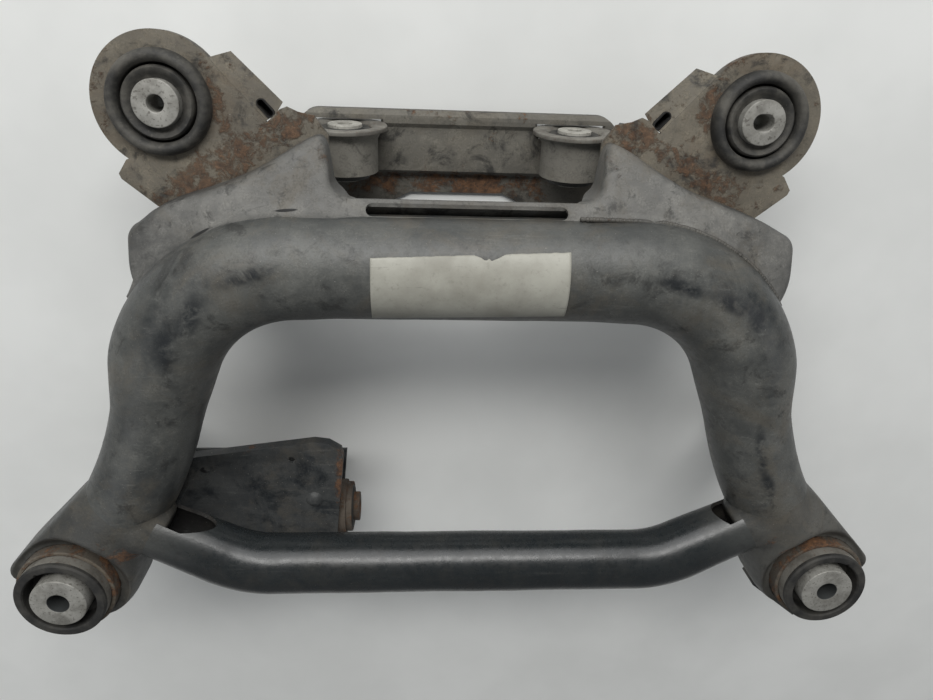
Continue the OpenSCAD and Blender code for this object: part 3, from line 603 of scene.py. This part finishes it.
bend, bendDeg = tubeRun["bend"], tubeRun["bendDeg"]
sweep, sweepDeg = tubeRun["sweep"], tubeRun["sweepDeg"]
crossR, bendR = tubeRun["crossR"], tubeRun["bendR"]
footDir = polar(sweepDeg - bendDeg)
frontAxis = Vector((tubeRun["frontX"], 0.0))
sweepEnd = frontAxis - footDir * tubeRun["footRun"]
sweepCentre = sweepEnd + sweep * leftOf(footDir)
sweepStart = sweepCentre + sweep * polar(270 - bendDeg)
legTop = sweepStart - tubeRun["legRun"] * polar(-bendDeg)
bendCentre = legTop - bend * polar(90 - bendDeg)
crossHalf = bendCentre.x
tubeY = bendCentre.y + bend
tubeBack = tubeY + crossR


def swollenR(past):
    # the cross run swells a little into the bend
    swell = ease((past + tubeRun["swellFrom"]) / tubeRun["swellOver"])
    return crossR + (bendR - crossR) * swell


def tubePath(s):
    # right half from the middle to the front mount: place, direction, radius
    crossSteps, bendSteps, legSteps, sweepSteps, footSteps = s["steps"]
    run = [(Vector((crossHalf * k / crossSteps, tubeY)), Vector((1, 0))) for k in range(crossSteps)]
    for k in range(bendSteps):
        a = 90 - bendDeg * k / bendSteps
        run.append((bendCentre + bend * polar(a), polar(a - 90)))
    for k in range(legSteps):
        run.append((legTop.lerp(sweepStart, k / legSteps), polar(-bendDeg)))
    for k in range(sweepSteps):
        a = 270 - bendDeg + sweepDeg * k / sweepSteps
        run.append((sweepCentre + sweep * polar(a), polar(a + 90)))
    for k in range(footSteps + 1):
        run.append((sweepEnd.lerp(frontAxis - footDir * s["footStop"], k / footSteps), footDir))
    out, length = [], 0.0
    elbowLength = math.radians(bendDeg) * bend
    for i, (place, way) in enumerate(run):
        if i:
            length += (place - run[i - 1][0]).length
        slim = ease((length - crossHalf - elbowLength + s["slimFrom"]) / s["slimOver"])
        r = swollenR(length - crossHalf) + (s["legR"] - bendR) * slim
        out.append((place, way, r))
    return out


def bothSides(run):
    left = [(Vector((-p.x, p.y)), Vector((w.x, -w.y)), r) for p, w, r in reversed(run[1:])]
    return left + run


def sweepTube(name, path, s, finish, saddle=None):
    around = s["around"]
    angles = [2 * math.pi * k / around for k in range(around)]
    verts = []
    for place, way, r in path:
        side = leftOf(way)
        for a in angles:
            e, h = math.cos(a), math.sin(a)
            spot = Vector((place.x + side.x * r * e, place.y + side.y * r * e, s["height"] + r * h))
            wobble = noise.noise(spot * 0.018) + 0.5 * noise.noise(spot * 0.05)
            verts.append(spot + Vector((side.x * e, side.y * e, h)) * wobble * s["dents"])
    faces = quads(len(path), around)
    if saddle:     # closed ends that follow the mount tube
        last = len(path) - 1
        for row, sign in ((0, -1), (last, 1)):
            way, r = path[row][1:]
            axis = Vector((sign * tubeRun["frontX"], 0.0))
            for k, a in enumerate(angles):
                e = r * math.cos(a)
                back = math.sqrt(saddle * saddle - e * e)
                base = axis - sign * way * back + leftOf(way) * e
                verts[row * around + k] = Vector((base.x, base.y, s["height"] + r * math.sin(a)))
        faces.append(tuple(range(around)))
        faces.append(tuple(last * around + k for k in reversed(range(around))))
    obj = newPiece(name, [v * mm for v in verts], faces, finish)
    outward(obj, 50)
    return obj


rimShape = {"low": -26.0, "rise": 34.0, "from": 43.0, "over": 30.0, "tubeUnder": 5.0}


def rimHeight(gap):
    # top of the shell, falling towards the mount tube
    return rimShape["low"] + rimShape["rise"] * ease((gap - rimShape["from"]) / rimShape["over"])


rightRun = tubePath(tubeRun)
mainTube = sweepTube("mainTube", bothSides(rightRun), tubeRun, "tube", tubeRun["mountR"])
for v in mainTube.data.vertices:     # stays under the pressed shell
    gap = (Vector((abs(v.co.x), v.co.y)) / mm - frontAxis).length
    v.co.z = min(v.co.z, (rimHeight(gap) - rimShape["tubeUnder"]) * mm)
settle(mainTube, "tube_coat", "main_tube")

braceRun = {
    "height": -31.0, "r": 26.5, "endR": 24.0, "y": 15.0, "bend": 100.0, "bendDeg": 28.0, "jointY": 70.0,
    "around": 72, "dents": 0.45, "steps": (34, 14, 21), "stop": 14.0, "wall": 3.0,
    "gapDeep": 6.0, "gapReach": 90.0,
    "leftGap": (78.0, 26.0), "rightGap": (54.0, 10.0),     # start before the leg axis, length of its slope
}


def legX(y):
    return sweepCentre.x - math.sqrt(sweep ** 2 - (sweepCentre.y - y) ** 2)


braceDir = polar(braceRun["bendDeg"])
braceTurn = math.radians(braceRun["bendDeg"])
braceJoint = Vector((legX(braceRun["jointY"]), braceRun["jointY"]))
braceBendY = braceRun["y"] + braceRun["bend"] * (1 - math.cos(braceTurn))
braceBendEnd = braceJoint - braceDir * ((braceRun["jointY"] - braceBendY) / math.sin(braceTurn))
braceHalf = braceBendEnd.x - braceRun["bend"] * math.sin(braceTurn)


def bracePath(s):
    r, thin = s["r"], s["endR"] - s["r"]
    crossSteps, bendSteps, endSteps = s["steps"]
    run = [(Vector((braceHalf * k / crossSteps, s["y"])), Vector((1, 0)), r) for k in range(crossSteps)]
    centre = Vector((braceHalf, s["y"] + s["bend"]))
    for k in range(bendSteps):
        a = -90 + s["bendDeg"] * k / bendSteps
        run.append((centre + s["bend"] * polar(a), polar(a + 90), r))
    for k in range(endSteps + 1):
        place = braceBendEnd.lerp(braceJoint - braceDir * s["stop"], k / endSteps)
        run.append((place, braceDir, r + thin * k / endSteps))
    return run


def cutGap(obj, sign, s):
    # open wedge of the brace wall in the inner corner with the leg
    way = Vector((sign * braceDir.x, braceDir.y, 0))
    rear = Vector((-sign * braceDir.y, braceDir.x, 0))
    joint = Vector((sign * braceJoint.x, braceJoint.y, s["height"]))
    deep = s["endR"] - s["gapDeep"]
    start, length = s["rightGap" if sign > 0 else "leftGap"]
    slope = Vector((s["r"] - deep, length)).normalized()
    ramp = (joint - way * start + rear * s["r"], way * slope.x + rear * slope.y)
    flat = (joint + rear * deep, rear)
    bm = opened(obj.data)

    def end():
        return [f for f in bm.faces if -s["gapReach"] < (f.calc_center_median() / mm - joint).dot(way) < 0]

    def beyond(face):
        middle = face.calc_center_median() / mm
        return all((middle - point).dot(normal) > 0 for point, normal in (ramp, flat))

    for point, normal in (ramp, flat):
        faces = end()
        edges = list(dict.fromkeys(e for f in faces for e in f.edges))
        verts = list(dict.fromkeys(v for f in faces for v in f.verts))
        bits = faces + edges + verts
        bmesh.ops.bisect_plane(bm, geom=bits, plane_co=point * mm, plane_no=normal, dist=0.00001)
    bmesh.ops.delete(bm, geom=[f for f in end() if beyond(f)], context="FACES")
    stored(bm, obj.data)


frontBrace = sweepTube("frontBrace", bothSides(bracePath(braceRun)), braceRun, "brace")
for sign in (1, -1):
    cutGap(frontBrace, sign, braceRun)
wall = thicken(frontBrace, braceRun["wall"])
# the inner wall and the cut rim take the near-black painted shade finish
wall.material_offset = 1
wall.material_offset_rim = 1
frontBrace.data.materials.append(finishes["inside"])
bake(frontBrace)
sharpen(frontBrace, 50)
settle(frontBrace, "tube_coat", "front_brace")
print("tubes", len(mainTube.data.polygons), len(frontBrace.data.polygons))


# pressed rear panel
panelShape = {
    "seam": -34.0, "fall": 20.0, "low": -75.85, "sheet": 2.6,
    "crestR": 7.0, "rings": (0.0, 0.4, 1.2, 2.4, 4.2),
    "windowHalf": 103.0, "slotW": 9.0, "slotHalf": 76.0, "stripW": 2.5, "stripLow": -42.5,
    "stripHalf": 90.0, "stripDrop": 1.2,
    "earRight": 266.0, "earLeft": 256.0, "earBack": 11.0, "corner": 14.0,
    "crest": ((126.5, 2), (78, 17), (46, 33), (18, 51), (4, 55)),     # beyond the window, behind the tube
    "gridX": (-270.0, 275.0), "gridY": (240.0, 390.0), "step": 7.0, "gridGap": 3.5,
}


def arcPoints(centre, r, a0, a1, steps):
    return [centre + r * polar(a0 + (a1 - a0) * k / steps) for k in range(steps + 1)]


def chaikin(points, rounds):
    for _ in range(rounds):
        out = [points[0]]
        for a, b in zip(points, points[1:]):
            out += [a.lerp(b, 0.25), a.lerp(b, 0.75)]
        points = out + [points[-1]]
    return points


def evenly(points, step):
    out = [points[0]]
    for a, b in zip(points, points[1:]):
        count = max(1, round((b - a).length / step))
        out += [a.lerp(b, k / count) for k in range(1, count + 1)]
    return out


def panelHalf(reach, s):
    corner, half = s["corner"], s["windowHalf"]
    earY = tubeBack - s["earBack"]
    windowY = tubeBack + s["slotW"] + s["stripW"]
    hidden = [Vector((crossHalf, tubeY + 8)), bendCentre + bend * Vector((0.8, 0.55))]
    outer = [Vector((reach - 12, bendCentre.y + 80)), Vector((reach, bendCentre.y + 100))]
    outer += arcPoints(Vector((reach - corner, earY - corner)), corner, 0, 70, 6)
    outer += [Vector((half + x, tubeBack + y)) for x, y in s["crest"]]
    outer += arcPoints(Vector((half - corner, windowY + corner)), corner, 0, -90, 6)
    return hidden + evenly(chaikin(outer, 3), 3.0) + evenly([outer[-1], Vector((0, windowY))], 6.0)[1:]


def inset(points, t):
    out = []
    count = len(points)
    for i, b in enumerate(points):
        n = leftOf((b - points[i - 1]).normalized())
        m = leftOf((points[(i + 1) % count] - b).normalized())
        out.append(b + t * (n + m) / max(1 + n.dot(m), 0.4))
    return out


def fromTube(p):
    x = abs(p.x)
    if x <= crossHalf:
        return p.y - tubeBack
    return (Vector((x, p.y)) - bendCentre).length - bend - crossR


def insideLoop(p, loop):
    hit = False
    for a, b in zip(loop, loop[1:] + loop[:1]):
        if (a.y > p.y) != (b.y > p.y) and p.x < a.x + (p.y - a.y) / (b.y - a.y) * (b.x - a.x):
            hit = not hit
    return hit


def loopEdges(base, count):
    return [(base + i, base + (i + 1) % count) for i in range(count)]


def panelNet(outline, slot, s):
    # points in plan with how far the rounded edge drops, and triangles between them
    points, edges, drops = [], [], []
    for q in (*s["rings"], s["crestR"]):
        core = inset(outline, q)
        edges += loopEdges(len(points), len(core))
        points += core
        drops += [s["crestR"] - math.sqrt(max(s["crestR"] ** 2 - (s["crestR"] - q) ** 2, 0.0))] * len(core)
    edges += loopEdges(len(points), len(slot))
    points += slot
    x = s["gridX"][0]
    while x < s["gridX"][1]:
        y = s["gridY"][0]
        while y < s["gridY"][1]:
            p = Vector((x, y))
            if insideLoop(p, core) and not insideLoop(p, slot):
                if min((p - c).length for c in core) > s["gridGap"]:
                    points.append(p)
            y += s["step"]
        x += s["step"]
    flat, _, tris, origin, _, _ = geometry.delaunay_2d_cdt(points, edges, [], 1, 0.001)
    low = [min((drops[i] for i in source if i < len(drops)), default=0.0) for source in origin]
    return flat, low, tris


def addFold(obj, s):
    # sheet folded under the slot, back to the tube
    edge, low = tubeBack + s["slotW"] + s["stripW"], s["stripLow"]
    profile = [(edge - 0.4, low + 1), (edge - 0.4, low - 1), (edge - 26, low - 26)]
    profile += [(edge - 26, low - 22), (edge - 2.2, low + 1)]
    half = s["windowHalf"] - s["corner"]
    bm = opened(obj.data)
    ends = [[bm.verts.new(Vector((x, y, z)) * mm) for y, z in profile] for x in (-half, half)]
    fold = [bm.faces.new(ends[0]), bm.faces.new(list(reversed(ends[1])))]
    for i, k in loopEdges(0, len(profile)):
        fold.append(bm.faces.new((ends[0][k], ends[0][i], ends[1][i], ends[1][k])))
    bmesh.ops.recalc_face_normals(bm, faces=fold)
    stored(bm, obj.data)


def makePanel(s):
    left = panelHalf(s["earLeft"], s)
    outline = panelHalf(s["earRight"], s) + [Vector((-p.x, p.y)) for p in reversed(left[:-1])]
    fall = math.tan(math.radians(s["fall"]))
    slotR = s["slotW"] / 2
    slot = arcPoints(Vector((s["slotHalf"] - slotR, tubeBack + slotR)), slotR, -90, 90, 8)
    slot += arcPoints(Vector((-s["slotHalf"] + slotR, tubeBack + slotR)), slotR, 90, 270, 8)
    flat, low, tris = panelNet(outline, slot, s)
    bm = bmesh.new()
    made = []
    for p, drop in zip(flat, low):
        if abs(p.x) < s["stripHalf"] and p.y > tubeBack - 2:
            drop = min(drop, s["stripDrop"])     # the strip behind the slot is only lightly rounded
        z = s["seam"] - fromTube(p) * fall - drop
        z += 0.5 * noise.noise(Vector((p.x, p.y, 3.0)) * 0.03)
        made.append(bm.verts.new(Vector((p.x, p.y, z)) * mm))
    for tri in tris:
        centre = sum((flat[i] for i in tri), Vector((0, 0))) / len(tri)
        if insideLoop(centre, outline) and not insideLoop(centre, slot):
            bm.faces.new([made[i] for i in tri])
    # walls down from the outline
    inner = inset(outline, 1.0)
    free = [e for e in bm.edges if len(e.link_faces) == 1]
    rim = [e for e in free if not any(insideLoop(Vector(v.co.xy) / mm, inner) for v in e.verts)]
    grown = bmesh.ops.extrude_edge_only(bm, edges=rim)
    for v in grown["geom"]:
        if isinstance(v, bmesh.types.BMVert):
            x, y = abs(v.co.x) / mm, v.co.y / mm
            deep = ease((x - 84) / 14) if y > tubeBack - 2 else 1.0
            v.co.z = (s["stripLow"] + (s["low"] - s["stripLow"]) * deep) * mm
    bmesh.ops.recalc_face_normals(bm, faces=bm.faces)
    if sum(f.normal.z * f.calc_area() for f in bm.faces) < 0:
        bmesh.ops.reverse_faces(bm, faces=bm.faces)
    mesh = bpy.data.meshes.new("topPanel")
    stored(bm, mesh)
    smoothFaces(mesh)
    obj = linked("topPanel", mesh)
    dress(obj, "panel")
    thicken(obj, s["sheet"]).use_even_offset = False
    bake(obj)
    addFold(obj, s)
    sharpen(obj, 48)
    return obj


topPanel = makePanel(panelShape)
settle(topPanel, "panel_coat", "top_panel")
print("panel", len(topPanel.data.polygons))


# pressed front shells, blended into the ends of leg and brace
shellShape = {
    "voxel": 1.5, "around": 64, "blend": 70, "smooth": 8, "keep": 45.0, "fade": 14.0,
    "reach": 128.0, "sink": 1.4, "full": 0.9, "braceReach": 41.0, "braceOut": 3.2, "braceIn": -1.2,
}


def addStub(bm, sign, run, height, around):
    rows = []
    for place, way, r in run:
        side = leftOf(way)
        row = []
        for k in range(around):
            a = 2 * math.pi * k / around
            spot = place + side * r * math.cos(a)
            row.append(bm.verts.new(Vector((sign * spot.x, spot.y, height + r * math.sin(a))) * mm))
        rows.append(row)
    made = [bm.faces.new(rows[0]), bm.faces.new(rows[-1])]
    for a, b in zip(rows, rows[1:]):
        for k, n in loopEdges(0, around):
            made.append(bm.faces.new((a[k], b[k], b[n], a[n])))
    bmesh.ops.recalc_face_normals(bm, faces=made)


def legStub(bm, sign, s):
    run = [step for step in rightRun if (step[0] - frontAxis).length < s["reach"]]
    grow = [-s["sink"] + (s["sink"] + s["full"]) * ease(2.2 * i / len(run)) for i in range(len(run))]
    addStub(bm, sign, [(p, w, r + g) for (p, w, r), g in zip(run, grow)], tubeRun["height"], s["around"])


def braceStub(bm, sign, s):
    run = []
    for k in range(9):
        back = s["braceReach"] * (1 - k / 8)
        r = braceRun["endR"] + s["braceIn"] + (s["braceOut"] - s["braceIn"]) * ease(2 * k / 8)
        run.append((braceJoint - braceDir * back, braceDir, r))
    addStub(bm, sign, run, braceRun["height"], s["around"])


def blendedShell(node, sign, s):
    obj = copyNode(node)
    bm = opened(obj.data)
    legStub(bm, sign, s)
    braceStub(bm, sign, s)
    stored(bm, obj.data)
    remesh = obj.modifiers.new("remesh", "REMESH")
    remesh.mode = "VOXEL"
    remesh.voxel_size = s["voxel"] * mm
    bake(obj)
    group = obj.vertex_groups.new(name="blend")
    axis = Vector((sign * frontAxis.x, frontAxis.y)) * mm
    for v in obj.data.vertices:
        gap = (v.co.xy - axis).length / mm
        v.co.z = min(v.co.z, rimHeight(gap) * mm)
        group.add([v.index], ease((gap - s["keep"]) / s["fade"]), "REPLACE")
    for count, only in ((s["blend"], "blend"), (s["smooth"], "")):
        soften = obj.modifiers.new("soften", "SMOOTH")
        soften.factor = 0.5
        soften.iterations = count
        soften.vertex_group = only
    bake(obj)
    obj.vertex_groups.clear()
    smoothFaces(obj.data)
    dress(obj, finishOf(node))
    settle(obj, slotOf[node], node)


for side, sign in sides:
    blendedShell(side + "_front_shell", sign, shellShape)
print("front shells")


# rounded sheet and plate pieces, width by node; a name with a leading mark stands for both sides
edgeWidths = {
    "_wing": 1.3, "rear_crossmember": 1.0, "nose_bracket": 1.2, "_side_plate": 0.8,
    "_upper_link_bracket": 0.8, "_lower_link_bracket": 0.8, "right_front_tab": 1.0,
    "_front_mount_tube": 1.0, "_front_sleeve": 1.0, "_rear_sleeve": 0.8, "_front_rubber": 0.8,
    "_diff_bush_shell": 0.9, "_diff_tube": 0.6, "_diff_sleeve": 0.6,
    "nose_tube": 0.8, "nose_bush_shell": 0.6, "nose_sleeve": 0.8,
}
edgeRound = {"segments": 3, "from": 32, "sharp": 40}


def roundedCopy(node, width, s):
    obj = copyNode(node)
    bevel = obj.modifiers.new("edges", "BEVEL")
    bevel.width = width * mm
    bevel.segments = s["segments"]
    bevel.limit_method = "ANGLE"
    bevel.angle_limit = math.radians(s["from"])
    bevel.use_clamp_overlap = True
    bevel.harden_normals = False
    bake(obj)
    smoothFaces(obj.data)
    sharpen(obj, s["sharp"])
    settle(obj, slotOf[node], node)


rounded = 0
for name, width in edgeWidths.items():
    for node in [side + name for side, _ in sides] if name.startswith("_") else [name]:
        roundedCopy(node, width, edgeRound)
        rounded += 1
print("rounded pieces", rounded)


# round rubber of the rear mounts
rearMount = {
    "x": 228.5, "y": 402.0, "top": -65.0, "seat": -10.85, "steps": 120, "groove": 1.6, "grooveDeep": 25.0,
    "clear": 0.15, "core": 9.2, "neck": 3.65, "ringHigh": 10.2,
}


def lathe(name, centre, profile, finish, steps):
    verts = []
    for i in range(steps):
        way = polar(360 * i / steps)
        for r, z in profile:
            verts.append(((centre.x + r * way.x) * mm, (centre.y + r * way.y) * mm, (centre.z + z) * mm))
    obj = newPiece(name, verts, quads(steps, len(profile), closed=True), finish)
    outward(obj, 50)
    return obj


def rearRubber(side, sign, s):
    node = side + "_rear_rubber"
    low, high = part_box(node)
    sleeveLow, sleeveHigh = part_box(side + "_rear_sleeve")
    collar = (high[0] - low[0]) / 2 / mm
    hold = (sleeveHigh[0] - sleeveLow[0]) / 2 / mm + s["clear"]
    split = hold + s["core"]
    wide = split + s["groove"]
    outer = collar - s["neck"]
    bottom = low[2] / mm - s["top"]
    profile = [(hold, -8), (hold, bottom + 8), (outer, bottom + 4), (outer, s["seat"])]
    for k in range(17):     # thick round ring on the seat
        a = math.pi * k / 16
        r = (collar + wide) / 2 + (collar - wide) / 2 * math.cos(a)
        profile.append((r, s["seat"] + s["ringHigh"] * math.sin(a) ** 0.7 - 0.35 * math.cos(a)))
    profile += [(wide, -s["grooveDeep"]), (split, -s["grooveDeep"]), (split, -7), (split - 0.5, -4.8)]
    profile += [(split - 1.8, -3.6), (split - 3.4, -3.9), (hold + 3, -6.2), (hold + 1, -7.8)]
    centre = Vector((sign * s["x"], s["y"], s["top"]))
    settle(lathe(pieceName(node), centre, profile, finishOf(node), s["steps"]), slotOf[node], node)


# pressed cup behind the oval hole of each wing, in the near-black painted shade finish so the hole looks
# dark
edgeCup = {
    "inX": 76.0, "inY": 1.7, "half": 4.5, "outer": 3.55, "inner": 2.7, "high": -77.2, "low": -92.0,
    "turn": 47.98, "around": 24,
}


def makeEdgeCup(side, sign, s):
    way = polar(s["turn"])
    middle = Vector((rearMount["x"] - s["inX"], rearMount["y"] - s["inY"]))
    around = s["around"]
    verts = []
    rows = [(s["inner"] - 0.4, s["low"] + 1), (s["inner"], s["high"])]
    rows += [(s["outer"], s["high"]), (s["outer"], s["low"])]
    for r, z in rows:
        for k in range(around):
            p = polar(360 * k / around) * r
            p = middle + way * (p.x + (s["half"] if p.x >= 0 else -s["half"])) + leftOf(way) * p.y
            verts.append((sign * p.x * mm, p.y * mm, z * mm))
    faces = [tuple(range(around)), tuple(3 * around + k for k in range(around))] + quads(len(rows), around)
    obj = newPiece(side + "EdgeCup", verts, faces, "inside")
    outward(obj, 50)
    settle(obj, "rusted_coat")


for side, sign in sides:
    rearRubber(side, sign, rearMount)
    makeEdgeCup(side, sign, edgeCup)
print("rear rubbers")


# weld bead along the panel's seam, with Geometry Nodes
weldShape = {"spacing": 1.0, "least": 1.558, "most": 2.242, "seed": 7}


def weldTree():
    tree = bpy.data.node_groups.new("weldBeads", "GeometryNodeTree")
    sockets = {"Geometry": "Geometry", "Spacing": "Float", "Least": "Float", "Most": "Float"}
    sockets.update({"Seed": "Int", "Finish": "Material"})
    for label, kind in sockets.items():
        tree.interface.new_socket(label, in_out="INPUT", socket_type="NodeSocket" + kind)
    tree.interface.new_socket("Geometry", in_out="OUTPUT", socket_type="NodeSocketGeometry")
    add = tree.nodes.new
    start = add("NodeGroupInput")
    end = add("NodeGroupOutput")
    even = add("GeometryNodeResampleCurve")
    even.mode = "LENGTH"
    ball = add("GeometryNodeMeshUVSphere")
    for label, value in (("Segments", 8), ("Rings", 5), ("Radius", 1.0)):
        ball.inputs[label].default_value = value
    place = add("GeometryNodeInstanceOnPoints")
    vary = add("FunctionNodeRandomValue")
    vary.data_type = "FLOAT"
    real = add("GeometryNodeRealizeInstances")
    shade = add("GeometryNodeSetShadeSmooth")
    paint = add("GeometryNodeSetMaterial")
    wires = (
        (start, "Geometry", even, "Curve"), (start, "Spacing", even, "Length"),
        (even, "Curve", place, "Points"), (ball, "Mesh", place, "Instance"),
        (start, "Seed", vary, "Seed"), (place, "Instances", real, "Geometry"),
        (real, "Geometry", shade, "Geometry"), (shade, "Geometry", paint, "Geometry"),
        (start, "Finish", paint, "Material"), (paint, "Geometry", end, "Geometry"),
    )
    link = tree.links.new
    for a, out, b, into in wires:
        link(a.outputs[out], b.inputs[into])
    link(start.outputs["Least"], [i for i in vary.inputs if i.name == "Min" and i.enabled][0])
    link(start.outputs["Most"], [i for i in vary.inputs if i.name == "Max" and i.enabled][0])
    link([o for o in vary.outputs if o.enabled][0], place.inputs["Scale"])
    return tree


def weld(name, points, s):
    curve = bpy.data.curves.new(name, "CURVE")
    curve.dimensions = "3D"
    line = curve.splines.new("POLY")
    line.points.add(len(points) - 1)
    for spot, p in zip(line.points, points):
        spot.co = (p[0] * mm, p[1] * mm, p[2] * mm, 1)
    obj = linked(name, curve)
    beads = obj.modifiers.new("beads", "NODES")
    beads.node_group = weldTree()
    values = {
        "Spacing": s["spacing"] * mm, "Least": s["least"] * mm, "Most": s["most"] * mm,
        "Seed": s["seed"], "Finish": finishes["weld"],
    }
    for item in beads.node_group.interface.items_tree:
        if item.in_out == "INPUT" and item.name in values:
            beads[item.identifier] = values[item.name]
    graph = bpy.context.evaluated_depsgraph_get()
    mesh = bpy.data.meshes.new_from_object(obj.evaluated_get(graph))
    bpy.data.objects.remove(obj)
    bpy.data.curves.remove(curve)
    settle(linked(name, mesh), "tube_coat")


def seamPath():
    # edge of the panel on the right, with the step that it has over the bend
    out = []
    for x, back in ((86, 1.5), (100, 1.5), (118, 1.2), (crossHalf, 1.0), (138, 0.4), (141, -1.2)):
        out.append((x, tubeBack + back, panelShape["seam"] + 2.5))
    for k in range(4, 30):
        p = bendCentre + (bend + 41.2) * polar(90 - 52 * k / 29)
        out.append((p.x, p.y, panelShape["seam"] + 1.5))
    return out


# round valleys between tube and panel, wide on the left and narrow on the right
seamFillet = {
    "leftR": 17.0, "rightR": 9.0, "least": 2.5, "grow": 8, "shrink": 10,
    "from": 80.0, "elbow": 56.0, "crossSteps": 14, "bendSteps": 40, "arcSteps": 8,
}


def filletSection(r, tubeR, steps):
    # section of the valley, as (distance behind the tube line, z)
    fall = math.radians(panelShape["fall"])
    n = Vector((math.sin(fall), math.cos(fall)))
    t = Vector((math.cos(fall), -math.sin(fall)))
    start = Vector((0, panelShape["seam"]))
    axis = Vector((-crossR, tubeRun["height"]))
    base = start - axis + n * r
    b, c = 2 * base.dot(t), base.length_squared - (tubeR + r) ** 2
    u = (-b + math.sqrt(b * b - 4 * c)) / 2
    centre = start + n * r + t * u
    a0 = math.atan2(-n.y, -n.x)
    a1 = math.atan2(axis.y - centre.y, axis.x - centre.x)
    if a1 > a0:
        a1 -= 2 * math.pi
    angles = [a0 + (a1 - a0) * k / steps for k in range(steps + 1)]
    arc = [centre + r * Vector((math.cos(a), math.sin(a))) for a in angles]
    return arc + [Vector((-3.0, panelShape["seam"] - 3.0))]


def makeFillet(side, sign, s):
    run, steps = crossHalf - s["from"], s["crossSteps"]
    stations = [(Vector((s["from"] + run * k / steps, tubeBack)), Vector((0, 1))) for k in range(steps)]
    for k in range(s["bendSteps"] + 1):
        out = polar(90 - s["elbow"] * k / s["bendSteps"])
        stations.append((bendCentre + (bend + crossR) * out, out))
    verts = []
    last, count = len(stations) - 1, s["arcSteps"] + 2
    for i, (place, out) in enumerate(stations):
        r = s["least"] + (s[side + "R"] - s["least"]) * ease(i / s["grow"]) * ease((last - i) / s["shrink"])
        for d, z in filletSection(r, swollenR(abs(place.x) - crossHalf), s["arcSteps"]):
            p = place + out * d
            verts.append((sign * p.x * mm, p.y * mm, z * mm))
    faces = quads(last + 1, count)
    faces += [tuple(range(count)), tuple(last * count + k for k in reversed(range(count)))]
    obj = newPiece(side + "SeamFillet", verts, faces, "panel")
    outward(obj, 60)
    settle(obj, "panel_coat")


for side, sign in sides:
    makeFillet(side, sign, seamFillet)
weld("panelSeamWeld", seamPath(), weldShape)
print("welds")


# bare label on the cross run
labelShape = {
    "left": (-71.0, 25.0, -53.0), "right": (74.0, 34.5, -43.0),     # x, upper angle, lower angle
    "lift": 0.3, "over": 0.45, "film": 0.25, "columns": 80, "rows": 40, "nick": (15.0, 11.0, 7.0),
}


def labelMat():
    g = Graph("labelFilm")
    broad = g.noise(22, 6, 0.65)
    fine = g.noise(260, 6, 0.7, shift=0.8)
    lines = g.noise(60, 6, 0.7, stretch=(0.5, 5.0, 5.0), shift=1.7)
    colour = g.blend(g.ramp(broad, 0.3, 0.72), (0.36, 0.355, 0.31), (0.25, 0.243, 0.207))
    colour = g.tint(colour, g.ramp(fine, 0.55, 0.68), 0.45, (0.2, 0.195, 0.165))
    place = g.add("ShaderNodeSeparateXYZ")
    g.join(g.coords, place.inputs[0])
    # darker towards the label's front edge
    low = g.ramp(place.outputs["Y"], (tubeY - 18) * mm, (tubeY - 34) * mm)
    colour = g.tint(colour, low, 0.6, (0.14, 0.134, 0.112))
    colour = g.tint(colour, g.ramp(lines, 0.63, 0.7), 0.5, (0.12, 0.118, 0.105))
    return g.finish(colour, g.scaled(broad, 0.3, 0.35, clamp=True), g.bump(fine, 0.15, 0.0004))


finishes["label"] = labelMat()


def makeLabel(s):
    verts, faces = [], []
    nickX, nickW, nickH = s["nick"]
    for i in range(s["columns"] + 1):
        t = i / s["columns"]
        x, top, low = (a + (b - a) * t for a, b in zip(s["left"], s["right"]))
        ragged = 0.8 + 0.4 * noise.noise(Vector((x * 0.4, 0, 5)))
        top -= max(0.0, nickH * (1 - ((x - nickX) / nickW) ** 2)) * ragged
        top += 0.8 * noise.noise(Vector((x * 0.2, 2, 0)))
        for k in range(s["rows"] + 1):
            a = math.radians(top + (low - top) * (k / s["rows"]))
            r = crossR + s["over"] + s["lift"] * 0.5 * (1 + noise.noise(Vector((x * 0.05, a * 3, 1))))
            y, z = tubeY + r * math.sin(a), tubeRun["height"] + r * math.cos(a)
            verts.append((x * mm, y * mm, z * mm))
    rows = s["rows"] + 1
    for i in range(s["columns"]):
        for k in range(s["rows"]):
            faces.append((i * rows + k, i * rows + k + 1, (i + 1) * rows + k + 1, (i + 1) * rows + k))
    obj = newPiece("paperLabel", verts, faces, "label")
    if obj.data.polygons[len(faces) // 2].normal.z < 0:
        obj.data.flip_normals()
    thicken(obj, s["film"])
    bake(obj)
    return obj


settle(makeLabel(labelShape), "label")
print("label")


# pale floor and soft room
floorShape = {"half": 4.0, "under": 0.0002}


def makeFloor(s):
    g = Graph("paleFloor")
    colour = g.blend(g.ramp(g.noise(5, 4, 0.6), 0.3, 0.7), (0.66, 0.67, 0.655), (0.72, 0.73, 0.715))
    g.join(colour, g.shader.inputs["Base Color"])
    g.shader.inputs["Roughness"].default_value = 0.75
    finishes["floor"] = g.mat
    z = cadBox[0][2] - s["under"]
    corners = [(x * s["half"], y * s["half"], z) for x, y in ((-1, -1), (1, -1), (1, 1), (-1, 1))]
    floor = newPiece("paleFloor", corners, [(0, 1, 2, 3)], "floor")


makeFloor(floorShape)
world = bpy.data.worlds.new("softRoom")
world.use_nodes = True
background = world.node_tree.nodes["Background"].inputs
background["Color"].default_value = (0.93, 0.96, 1.0, 1.0)
background["Strength"].default_value = 0.17
scene.world = world
print("floor and room")
